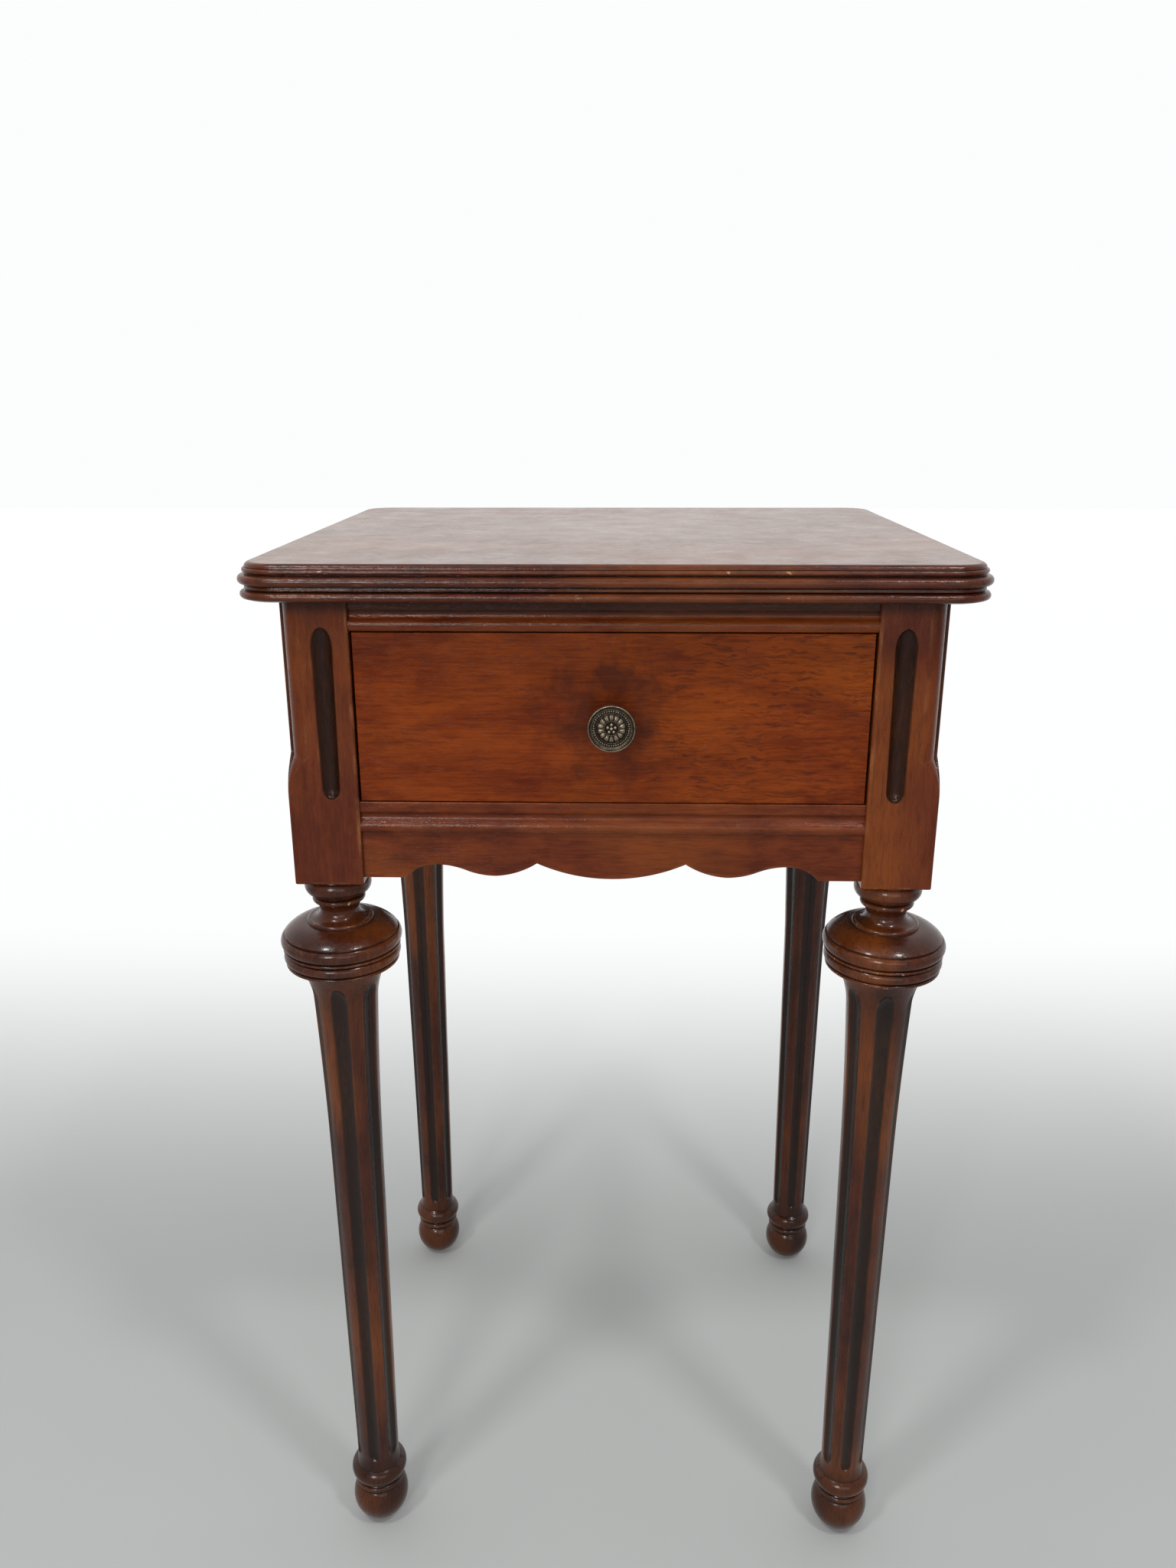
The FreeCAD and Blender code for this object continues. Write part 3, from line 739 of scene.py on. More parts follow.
    def surface(self, tree: Tree, pores: Socket) -> Socket:
        """Pores that sink through the lacquer, fibres, and the fine orange peel of the spray.

        Args:
            tree: the material's node tree.
            pores: mask of the pores.

        Returns:
            The bumped normal.
        """
        peel = grained(tree, self.grain, self.PEEL_MM, 1.3, 2.0, 0.6)
        fibres = grained(tree, self.grain, self.PEEL_MM, 30.0, 1.0)
        height = add_shares(tree, sums(tree, "MULTIPLY", pores, -0.35), (peel, self.speckle),
                            (fibres, 0.22))
        return add_node(tree, "ShaderNodeBump",
                        {"Height": height, "Distance": self.BUMP_MM * MM,
                         "Strength": 1.0}).outputs["Normal"]

    def with_halo(self, tree: Tree, colour: Socket) -> Socket:
        """Dark polish and hand grease round the knob, heaviest just above it.

        Args:
            tree: the material's node tree.
            colour: the wood's colour.

        Returns:
            The colour with the dark patch.
        """
        low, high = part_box("knob_head")
        knob = (low + high) / 2
        waver = cloud(tree, object_place(tree), 16.0, 3.0, 0.6)
        mask = soft_patch(tree, (knob.x / MM, 0.0, knob.z / MM + 6.0), (1.0, 0.0, 0.85), waver,
                          (18.0, 12.0, 40.0, self.halo))
        return blend_colour(tree, mask, colour, linear(self.HAND_DARK))

    def with_painted_reflection(self, tree: Tree, colour: Socket, rough: Socket) -> tuple[Socket, Socket]:
        """A painted reflection: a pale patch in the middle of the top, where the lacquer is also
        rougher.

        Args:
            tree: the material's node tree.
            colour: the wood's colour.
            rough: its roughness.

        Returns:
            The colour and the roughness with the patch.
        """
        waver = grained(tree, self.grain, 28.0, 3.0, 4.0, 0.65)
        mask = soft_patch(tree, (7.5, 30.0, 0.0), (0.8, 1.0, 0.0), waver,
                          (30.0, 35.0, 100.0, self.painted_reflection))
        # painted reflection of the bright backdrop, as a pale patch
        colour = blend_colour(tree, mask, colour, linear(self.REFLECTION_PALE))
        return colour, add_shares(tree, rough, (mask, 0.1))


@dataclass(frozen=True)
class BareWood:
    """Planed drawer lining, sawn softwood or turned beech: unfinished, dull and darkened by age."""

    BAND_MM: ClassVar[float] = 7.0
    FIBRE_MM: ClassVar[float] = 0.8
    DIRT_MM: ClassVar[float] = 45.0
    BUMP_MM: ClassVar[float] = 0.15

    name: str
    grain: Grain
    ground: str
    dark: str
    darkening: str = "#4a3420"

    def material(self) -> Material:
        """Build the node material.

        Returns:
            The finished material.
        """
        made, tree, shader = node_material(self.name)
        bands = grained(tree, self.grain, self.BAND_MM, 14.0, 4.0, 0.6, 0.8, 0.02)
        fibres = grained(tree, self.grain, self.FIBRE_MM, 40.0, 2.0, 0.6)
        dirt = grained(tree, self.grain, self.DIRT_MM, 2.0, 4.0, 0.6)
        darkening = linear(self.darkening)
        colour = blend_colour(tree, spread(tree, bands, 0.4, 0.66), linear(self.ground),
                              linear(self.dark))
        colour = blend_colour(tree, spread(tree, fibres, 0.5, 0.8, 0.0, 0.4), colour, darkening)
        colour = blend_colour(tree, spread(tree, dirt, 0.5, 0.75, 0.0, 0.35), colour, darkening)
        bump = add_node(tree, "ShaderNodeBump",
                        {"Height": fibres, "Distance": self.BUMP_MM * MM, "Strength": 0.8})
        plug(tree, shader, {"Base Color": colour, "Normal": bump.outputs["Normal"],
                            "Roughness": spread(tree, fibres, 0.3, 0.7, 0.6, 0.74)})
        return made


@dataclass(frozen=True)
class AntiqueBrass:
    """Cast brass, chemically darkened and then rubbed: dark hollows, warm dull crests."""

    TARNISH_MM: ClassVar[float] = 2.2
    GRIT_MM: ClassVar[float] = 0.5
    BUMP_MM: ClassVar[float] = 0.05

    name: str
    crest: str = "#a1917c"
    hollow: str = "#1c150f"
    roughness: float = 0.36

    def material(self) -> Material:
        """Build the node material.

        Returns:
            The finished material.
        """
        made, tree, shader = node_material(self.name)
        tarnish = grained(tree, Grain.ALONG_X, self.TARNISH_MM, 1.0, 4.0, 0.7)
        grit = grained(tree, Grain.ALONG_X, self.GRIT_MM, 1.0, 2.0)
        crest, hollow = linear(self.crest), linear(self.hollow)
        rubbed = sums(tree, "MULTIPLY", mark(tree, "wear"),
                      spread(tree, tarnish, 0.3, 0.6, 0.55, 1.0))
        colour = blend_colour(tree, spread(tree, tarnish, 0.35, 0.7, 0.08, 0.3), hollow, crest)
        colour = blend_colour(tree, rubbed, colour, crest)
        colour = blend_colour(tree, mark(tree, "stain"), colour, hollow)
        bump = add_node(tree, "ShaderNodeBump",
                        {"Height": grit, "Distance": self.BUMP_MM * MM, "Strength": 0.6})
        rough = spread(tree, tarnish, 0.3, 0.7, self.roughness - 0.06, self.roughness + 0.14)
        plug(tree, shader, {"Base Color": colour, "Roughness": rough, "Metallic": 0.9,
                            "Normal": bump.outputs["Normal"]})
        return made


@dataclass(frozen=True)
class DullSteel:
    """Drawn steel of screws and nails, greyed by age, so that it barely glints."""

    PATCH_MM: ClassVar[float] = 1.5

    name: str
    bright: str = "#8a8682"
    dull: str = "#4f4640"

    def material(self) -> Material:
        """Build the node material.

        Returns:
            The finished material.
        """
        made, tree, shader = node_material(self.name)
        patch = grained(tree, Grain.ALONG_X, self.PATCH_MM, 1.0, 3.0, 0.6)
        colour = blend_colour(tree, spread(tree, patch, 0.45, 0.7), linear(self.bright),
                              linear(self.dull))
        plug(tree, shader, {"Base Color": colour, "Metallic": 1.0,
                            "Roughness": spread(tree, patch, 0.3, 0.7, 0.38, 0.6)})
        return made


class Finishes:
    """Every material of the table, made once and handed out by name."""

    def __init__(self) -> None:
        """Build the materials."""
        self.top = Lacquered(
            "mahogany_top_lacquer", Grain.ALONG_X, "#6a4028", "#7a4e34", "#52301e", worn="#b0805c",
            painted_reflection=0.13, roughness=0.28, specular=0.5, coat=0.25, coat_roughness=0.2, contrast=0.7,
            blotch_mm=7.0, speckle=0.05).material()
        self.top_edge = Lacquered(
            "mahogany_top_edge_lacquer", Grain.ALONG_X, "#3f1609", "#572411", "#220903",
            worn="#7e4528", blotch_mm=8.0, contrast=0.75, chips=1.0, roughness=0.2, specular=0.3,
            speckle=0.6, wear_amount=0.6).material()
        self.post = Lacquered(
            "mahogany_post_lacquer", Grain.ALONG_Z, "#572410", "#642c14", "#401508",
            roughness=0.25, speckle=0.8, blotch_mm=16.0).material()
        self.turning = Lacquered(
            "mahogany_turning_lacquer", Grain.ALONG_Z, "#39170a", "#4c200f", "#210b05",
            worn="#7d4c30", coat=0.18, coat_roughness=0.06, roughness=0.2, chips=1.0,
            specular=0.22, speckle=0.3).material()
        self.rail = Lacquered(
            "mahogany_rail_lacquer", Grain.ALONG_X, "#5d230a", "#70310f", "#401304",
            blotch_mm=14.0, roughness=0.2, specular=0.22, speckle=0.8, wear_amount=0.35).material()
        self.side = Lacquered(
            "mahogany_side_lacquer", Grain.ALONG_Y, "#5c2610", "#6c3217", "#40170a").material()
        self.back = Lacquered(
            "mahogany_back_lacquer", Grain.ALONG_X, "#5a2a1a", "#683824", "#3f1c11",
            roughness=0.5).material()
        self.drawer = Lacquered(
            "mahogany_drawer_lacquer", Grain.ALONG_X, "#6e2707", "#81390c", "#481503",
            warm="#90460b", figure=0.7, halo=0.68, roughness=0.26, specular=0.13,
            speckle=0.5).material()
        lining, softwood = ("#b08a5e", "#8a6640"), ("#9a7850", "#74542f")
        self.lining_y = BareWood("drawer_lining_long", Grain.ALONG_Y, *lining).material()
        self.lining_x = BareWood("drawer_lining_cross", Grain.ALONG_X, *lining).material()
        self.softwood_x = BareWood("sawn_strip_cross", Grain.ALONG_X, *softwood).material()
        self.softwood_y = BareWood("sawn_strip_long", Grain.ALONG_Y, *softwood).material()
        self.beech = BareWood("turned_beech", Grain.ALONG_X, "#b8935f", "#9a7546").material()
        self.brass = AntiqueBrass("antique_cast_brass").material()
        self.steel = DullSteel("aged_steel").material()


def dress(piece: Piece, *materials: Material) -> None:
    """Give a piece its materials.

    Args:
        piece: the piece.
        materials: its materials, in slot order.
    """
    piece.data.materials.clear()
    for material in materials:
        piece.data.materials.append(material)


def corner_name(end: End, side: Side, part: str) -> str:
    """The name of a part that the table has at each of its corners."""
    return f"{end.name.lower()}_{side.name.lower()}_{part}"


# ---------------------------------------------------------------------------- table top
@dataclass
class TableTop:
    """Solid board with rounded corners and three reeds worked round its edge."""

    CLOSING_INSETS: ClassVar[tuple[float, ...]] = (185.0, 150.0, 110.0, 70.0, 40.0, 22.0, 14.0,
                                                   10.0, 8.4)

    width: float = 436.0
    depth: float = 390.0
    height: float = 737.0
    thickness: float = 22.0
    corner_radius: float = 25.0
    face_inset: float = 7.6
    corner_steps: int = 14
    side_pitch: float = 3.0
    relief_reach: float = 7.0
    dent_share: float = 0.0011

    def edge_section(self) -> np.ndarray:
        """Section of the moulded edge from the flat of the top down to the underside.

        Returns:
            (n, 2) points of (distance in from the widest line, depth below the top face).
        """
        upper_reed = [Bend((5.3, 0.95), (4.4, 2.8)), Line((4.7, 3.1)),
                      Bend((2.9, 4.7), (4.1, 6.1)), Line((3.9, 6.5)), Bend((3.2, 6.8), (2.6, 7.1))]
        middle_reed = [Bend((0.02, 9.9), (2.7, 12.8)), Line((3.9, 13.3)), Line((3.7, 13.7)),
                       Line((3.6, 15.0)), Line((4.3, 15.6)), Line((3.4, 16.1))]
        lower_reed = [Bend((0.9, 18.5), (3.6, 21.0)), Bend((5.4, 21.7), (7.6, 22.0))]
        return trace((self.face_inset, 0.0), upper_reed + middle_reed + lower_reed, 0.35)

    def outline(self, inset: np.ndarray) -> np.ndarray:
        """Rounded rectangles: each shrunk by an inset, with the corner radius shrunk too.

        Args:
            inset: (n,) distances in from the widest line.

        Returns:
            (n, around, 2) points, counter-clockwise.
        """
        radius = np.maximum(self.corner_radius - inset, 0.5)[:, None]
        half_x = (self.width / 2 - inset)[:, None] - radius
        half_y = (self.depth / 2 - inset)[:, None] - radius
        runs = [int(self.depth / self.side_pitch), int(self.width / self.side_pitch)] * 2
        pieces = []
        for quarter, (sx, sy) in enumerate(QUARTERS):
            swing = quarter * math.pi / 2 + np.linspace(0, math.pi / 2, self.corner_steps)
            corner = np.stack([sx * half_x + radius * np.cos(swing),
                               sy * half_y + radius * np.sin(swing)], -1)
            steps = runs[(quarter + 1) % 4]
            next_x, next_y = QUARTERS[(quarter + 1) % 4]
            following = np.stack([next_x * half_x + radius * math.cos(swing[-1]),
                                  next_y * half_y + radius * math.sin(swing[-1])], -1)
            share = (np.arange(1, steps) / steps)[None, :, None]
            pieces += [corner, corner[:, -1:] * (1 - share) + following * share]
        return np.concatenate(pieces, 1)

    def build(self, finishes: Finishes) -> Piece:
        """Carry the edge section round the outline and close both faces to their middles.

        Args:
            finishes: the materials.

        Returns:
            The top.
        """
        section = self.edge_section()
        flat = np.array(self.CLOSING_INSETS)
        level = np.zeros(len(flat))
        inset = np.concatenate([flat, section[:, 0], flat[::-1]])
        down = np.concatenate([level, section[:, 1], level + self.thickness])
        plan = self.outline(inset)
        heights = np.repeat((self.height - down)[:, None, None], plan.shape[1], 1)
        rings = np.concatenate([plan, heights], 2)
        lift = relief(-section[::-1], self.relief_reach)[::-1]
        lift = np.concatenate([level, lift, level])[:, None]
        ding = lattice_noise(rings, (14, 14, 3), 1)
        dent = self.dent_share * np.clip(lift / 0.8, 0, 1) * np.clip(ding - 0.35, 0, 1)
        centre = np.array([0, 0, self.height - self.thickness / 2])
        rings = rings - (rings - centre) * dent[..., None]
        ones = np.ones_like(ding)
        marks = {"wear": np.clip(lift / 0.7, 0, 1) * ones,
                 # painted shade darkens the grooves between the reeds
                 "stain": np.clip(-lift / 0.45 - 0.05, 0, 0.95) * ones}
        piece = skin("reeded_top", rings, marks, 50.0)
        dress(piece, finishes.top, finishes.top_edge)
        faces = np.zeros(len(piece.data.polygons), np.int32)
        around = rings.shape[1]
        faces[len(flat) * around:(len(rings) - 1) * around] = 1
        piece.data.polygons.foreach_set("material_index", faces)
        return stand_for(piece, "carcass", "table_top")


# ---------------------------------------------------------------------------- legs
@dataclass
class TurnedLeg:
    """Turned leg: bun foot, collar, six-fluted taper, bulb with two rings, cove and collar."""

    side: Side
    end: End
    axis_x: float = 176.9
    axis_y: float = 152.1
    shoulder_z: float = 535.0
    flutes: int = 6
    columns_per_flute: int = 16
    flute_half_angle: float = 17.0
    flute_depth: float = 2.3
    flute_foot_z: float = 62.0
    flute_head_z: float = 462.0
    foot_round: float = 6.0
    head_round: float = 13.0
    shaft_radius: float = 17.0
    wobble_mm: float = 0.12

    def profile(self) -> np.ndarray:
        """Outline of the turning.

        Returns:
            (n, 2) points of (radius, height) from the foot's flat to the shoulder.
        """
        foot = trace((0.6, 0.0), [
            Line((7.4, 0.0)), Bend((9.0, 0.4), (10.4, 1.5)), Bend((20.4, 16.4), (17.2, 31.0)),
            Line((16.5, 31.6)), Line((16.5, 33.4)), Bend((18.4, 35.5), (16.7, 37.4)),
            Line((16.2, 38.0)), Line((16.5, 38.7)), Bend((20.6, 45.4), (17.0, 52.0)),
            Line((16.4, 52.5)), Bend((15.5, 57.0), (15.2, 64.0))], 0.6)
        shaft = trace((15.2, 64.0), [Line((17.8, 330.0)), Bend((19.0, 392.0), (21.2, 449.0))], 2.2)
        bulb = trace((21.2, 449.0), [
            Bend((23.6, 460.5), (26.5, 468.0)), Bend((29.0, 471.6), (33.4, 473.9)),
            Line((35.0, 474.1)), Bend((36.7, 474.8), (36.2, 475.7)), Line((35.6, 476.0)),
            Line((35.8, 476.5)), Bend((37.8, 479.7), (36.6, 482.7)), Line((35.4, 483.0)),
            Line((35.5, 483.6)), Line((37.0, 483.9)), Bend((37.9, 484.9), (37.1, 485.8)),
            Line((36.2, 486.0)), Line((36.3, 486.5)), Line((37.5, 486.8)),
            Bend((39.1, 490.6), (37.6, 494.5)), Line((36.0, 494.9)), Line((35.8, 495.6)),
            Line((36.6, 496.1)), Bend((31.4, 500.3), (22.4, 503.0)), Line((21.4, 503.1)),
            Line((21.2, 504.4)), Bend((20.4, 505.2), (19.0, 505.3)),
            Bend((12.9, 511.2), (15.2, 516.6)), Bend((17.0, 518.9), (15.4, 520.9)),
            Line((15.7, 521.6)), Bend((21.3, 527.2), (19.2, 533.6)),
            Line((18.6, self.shoulder_z - 0.05))], 0.4)
        return np.concatenate([foot, shaft[1:], bulb[1:]])

    def flute_end(self, z: np.ndarray) -> np.ndarray:
        """Share of the full flute: 1 along it, falling as a quarter ellipse at its ends.

        Args:
            z: heights.

        Returns:
            The share at each height.
        """
        low = np.clip((z - self.flute_foot_z) / self.foot_round, 0, 1)
        high = np.clip((self.flute_head_z - z) / self.head_round, 0, 1)
        return np.sqrt(1 - (1 - low) ** 2) * np.sqrt(1 - (1 - high) ** 2)

    def build(self, finishes: Finishes) -> Piece:
        """Turn the profile and sink the flutes into it.

        Each sixth of the circle has the same columns. The middle half of them spans the flute and
        narrows with it, so a column always lies on each arris, and the depth across it is
        1 - u^2 of the full depth.

        Args:
            finishes: the materials.

        Returns:
            The leg.
        """
        profile = self.profile()
        radius, z = profile[:, :1], profile[:, 1:]
        share = self.flute_end(z) * ((z > self.flute_foot_z) & (z < self.flute_head_z))
        step = 2.0 / self.columns_per_flute
        unit = np.arange(-1, 1 - step / 2, step)[None, :]
        pitch = 180.0 / self.flutes
        half = self.flute_half_angle * np.where(share > 0.02, np.maximum(share, 0.12), 1.0)
        inside = np.abs(unit) <= 0.5
        angle = np.where(inside, unit * 2 * half,
                         np.sign(unit) * (half + (np.abs(unit) - 0.5) * 2 * (pitch - half)))
        depth = np.where(inside, 1 - (unit * 2) ** 2, 0) * share * self.flute_depth
        depth = depth * (radius / self.shaft_radius)
        centres = -90 + 2 * pitch * np.arange(self.flutes)
        around = np.radians(centres[None, :, None] + angle[:, None, :]).reshape(len(z), -1)
        reach = radius - np.tile(depth, (1, self.flutes))
        heights = np.broadcast_to(z, reach.shape)
        seed = 20 + 10 * self.side.value + self.end.value
        barrel = np.stack([np.cos(around) * 20, np.sin(around) * 20, heights], -1)
        wobble = self.wobble_mm * lattice_noise(barrel, (18, 18, 40), seed)
        reach = np.where(heights > 1.0, reach + np.minimum(wobble, 0), reach)
        rings = np.stack([self.side.value * self.axis_x + reach * np.cos(around),
                          self.end.value * self.axis_y + reach * np.sin(around), heights], -1)
        lift = relief(profile, 9.0)[:, None]
        along = share > 0.3
        hollow = np.tile((np.abs(unit) < 0.44) * 1.0 * along, (1, self.flutes))
        arris = np.tile(0.3 * (np.abs(np.abs(unit) - 0.5) < 0.01) * along, (1, self.flutes))
        # darker towards the foot, except on the crests
        darkening = 0.45 * np.clip((66 - z) / 12, 0, 1) * (lift < 0.9)
        marks = {"wear": np.maximum(np.clip(lift / 0.9, 0, 1), arris),
                 # painted shade in the hollows of the turning, the darkening towards the foot and
                 # the dark-stained flutes
                 "stain": np.maximum(np.clip(-lift / 0.8 - 0.1, 0, 0.85) + darkening, 0.95 * hollow)}
        piece = skin(corner_name(self.end, self.side, "turned_leg"), rings, marks, 32.0)
        dress(piece, finishes.turning)
        return stand_for(piece, "carcass",
                         corner_name(self.end, self.side, "leg"))


# ---------------------------------------------------------------------------- posts
@dataclass
class CornerPost:
    """Square corner post. The front pair have a stopped flute and a stopped, eased corner."""

    side: Side
    end: End
    outer_x: float = 198.5
    outer_y: float = 173.7
    width: float = 43.2
    foot_z: float = 535.0
    head_z: float = 715.0
    arris: float = 0.7
    flute_x: float = 171.6
    flute_margin: float = 7.6
    flute_foot_width: float = 11.2
    flute_head_width: float = 13.6
    flute_depth: float = 3.8
    flute_foot_z: float = 591.5
    flute_head_z: float = 698.0
    flute_foot_round: float = 7.0
    flute_head_round: float = 12.5
    ease_flat: float = 13.6
    ease_step: float = 3.3
    ease_back: float = 13.4
    ease_nib: float = 0.45
    tongue_low_z: float = 592.5
    tongue_high_z: float = 618.0

    def heights(self) -> np.ndarray:
        """Heights of the section rings, close together where the flute and the ease run out.

        Returns:
            (n,) heights.
        """
        arch_z = self.flute_head_z - self.flute_head_round
        foot = self.foot_z + self.arris * np.array([0.0, 0.3, 1.0, 3.0])
        lower = np.linspace(self.foot_z + 6, 588, 8)
        run_out = np.linspace(589, 618.4, 42)
        middle = np.linspace(620.5, arch_z - 2, 10)
        arch = np.linspace(arch_z, self.flute_head_z + 1, 26)
        return np.concatenate([foot, lower, run_out, middle, arch, [704, 710, self.head_z - 0.05]])

    def flute_share(self, z: np.ndarray) -> np.ndarray:
        """Share of the flute's full width: rounded at the foot, an arch at the head.

        Args:
            z: heights.

        Returns:
            The share at each height.
        """
        low = np.clip((z - self.flute_foot_z) / self.flute_foot_round, 0, 1)
        high = np.clip((self.flute_head_z - z) / self.flute_head_round, 0, 1)
        return np.sqrt(1 - (1 - low) ** 2) * np.sqrt(1 - (1 - high) ** 2.1)

    def ease_share(self, z: np.ndarray) -> np.ndarray:
        """Share of the full ease: a power of the height, so that it sweeps out in a tongue."""
        part = np.clip((z - self.tongue_low_z) / (self.tongue_high_z - self.tongue_low_z), 0, 1)
        return 0.05 + 0.95 * part ** 2.2

    def on_face(self, x: Sequence[float], z: np.ndarray) -> np.ndarray:
        """Plan points at these x on the front face, the same at every height."""
        across = np.array(x)[None, :] * np.ones_like(z)
        return np.stack([across, np.full_like(across, -self.outer_y)], -1)

    def ease_plan(self) -> tuple[np.ndarray, np.ndarray, np.ndarray]:
        """Plan of the eased corner: a quarter round, a step back, a nib and the side face.

        Returns:
            (n, 2) points from the square corner, then their "wear" and "stain".
        """
        swing = np.linspace(0, math.pi / 2, 9)
        radius = self.ease_flat - self.ease_step
        back, nib = self.ease_back, self.ease_nib
        quarter = [[-self.ease_flat + radius * math.sin(a), radius * (1 - math.cos(a))]
                   for a in swing]
        step = [[-self.ease_step, back - nib], [-self.ease_step + nib, back], [-nib, back],
                [0, back + nib], [0, back + nib + 2]]
        wear = np.array([0, 0.45, 0.1] + [0.0] * 5 + [0.5, 0.9, 0.2, 0.0, 0.3, 0.5, 0.0])
        # painted shade on the step behind the quarter round and on its face
        stain = np.array([0.0] * 10 + [0.85, 0.95, 0.4, 0.0, 0.0])
        return np.array([[-self.ease_flat - 1.2, 0.0]] + quarter + step), wear, stain

    def front_face(self, z: np.ndarray) -> tuple[np.ndarray, np.ndarray, np.ndarray]:
        """The front face of a front post from its inner arris to its side face.

        Args:
            z: (n, 1) heights.

        Returns:
            (n, m, 2) plan points, then their "wear" and "stain".
        """
        inner = self.outer_x - self.width
        ones = np.ones_like(z)
        share = self.flute_share(z)
        width = np.interp(z, [self.flute_foot_z, self.flute_head_z],
                          [self.flute_foot_width, self.flute_head_width])
        half = np.maximum(width / 2 * share, 0.05)
        unit = np.concatenate([[-1, -0.86], np.linspace(-0.72, 0.72, 9), [0.86, 1]])[None, :]
        depth = self.flute_depth * share * (1 - unit ** 2)
        flute = np.stack([self.flute_x + unit * half, -self.outer_y + depth], -1)
        cut = share > 0.02
        flute_wear = 0.35 * (np.abs(unit) > 0.99) * cut
        flute_stain = np.where(np.abs(unit) < 0.9, 0.95, 0.25) * cut
        lead = self.on_face([inner + self.arris, inner + self.arris + 2, inner + 6,
                             self.flute_x - self.flute_margin], z)
        gap = self.on_face([self.flute_x + self.flute_margin, self.flute_x + 9.5], z)
        ease, ease_wear, ease_painted_shade = self.ease_plan()
        corner = np.array([self.outer_x, -self.outer_y])
        eased = corner + ease[None] * self.ease_share(z)[..., None]
        points = np.concatenate([lead, flute, gap, eased], 1)
        wear = np.concatenate([np.array([0.9, 0, 0, 0]) * ones, flute_wear, np.zeros(2) * ones,
                               ease_wear * ones], 1)
        stain = np.concatenate([np.zeros(4) * ones, flute_stain, np.zeros(2) * ones,
                                ease_painted_shade * ones], 1)
        return points, wear, stain

    def plain_face(self, z: np.ndarray) -> tuple[np.ndarray, np.ndarray, np.ndarray]:
        """The same stretch on a rear post: a flat face and a softened corner.

        Args:
            z: (n, 1) heights.

        Returns:
            (n, m, 2) plan points, then their "wear" and "stain".
        """
        inner, outer, ones = self.outer_x - self.width, self.outer_x, np.ones_like(z)
        flat = np.array([[inner + self.arris, 0], [inner + 3, 0], [outer - 4, 0], [outer - 2.0, 0],
                         [outer - 0.6, 0.6], [outer, 2.0], [outer, 4.0]])
        points = flat[None] * ones[..., None] - np.array([0, self.outer_y])
        wear = np.array([0.9, 0, 0, 0.6, 0.9, 0.6, 0])
        return points, wear * ones, np.zeros(len(wear)) * ones

    def build(self, finishes: Finishes) -> Piece:
        """Carry the plan section up the post.

        Args:
            finishes: the materials.

        Returns:
            The post.
        """
        z = self.heights()[:, None]
        face = self.front_face if self.end is End.FRONT else self.plain_face
        points, wear, stain = face(z)
        inner, outer, arris = self.outer_x - self.width, self.outer_x, self.arris
        front, back = -self.outer_y, -self.outer_y + self.width
        ones = np.ones_like(z)
        rest = np.array([[outer, back - 3], [outer, back - arris], [outer - arris, back],
                         [outer - 3, back], [inner + 3, back], [inner + arris, back],
                         [inner, back - arris], [inner, back - 3], [inner, front + 3],
                         [inner, front + arris]])
        rest_wear = np.array([0, 0.8, 0.8, 0, 0, 0.8, 0.8, 0, 0, 0.9])
        points = np.concatenate([points, rest[None] * ones[..., None]], 1)
        wear = np.concatenate([wear, rest_wear * ones], 1)
        stain = np.concatenate([stain, np.zeros(len(rest_wear)) * ones], 1)
        middle = np.array([outer - self.width / 2, front + self.width / 2])
        draw_in = np.interp(z[:, 0], self.foot_z + arris * np.array([0, 0.3, 1.0]),
                            [1.0, 0.45, 0.0])
        points = points - np.sign(points - middle) * (arris * draw_in)[:, None, None]
        foot_wear = np.interp(z, self.foot_z + np.array([0.0, 1.0, 2.0]), [0.9, 0.7, 0])
        # painted shadow of the top's overhang on the head of the post
        painted_head_shadow = np.interp(z, [self.head_z - 9, self.head_z - 5], [0, 0.6])
        marks = {"wear": np.maximum(wear, foot_wear), "stain": np.maximum(stain, painted_head_shadow)}
        rings = np.concatenate([points, np.repeat(z[..., None], points.shape[1], 1)], 2)
        rings *= np.array([self.side.value, -self.end.value, 1])
        piece = skin(corner_name(self.end, self.side, "corner_post"), rings, marks, 35.0)
        dress(piece, finishes.post)
        return stand_for(piece, "carcass",
                         corner_name(self.end, self.side, "post"))


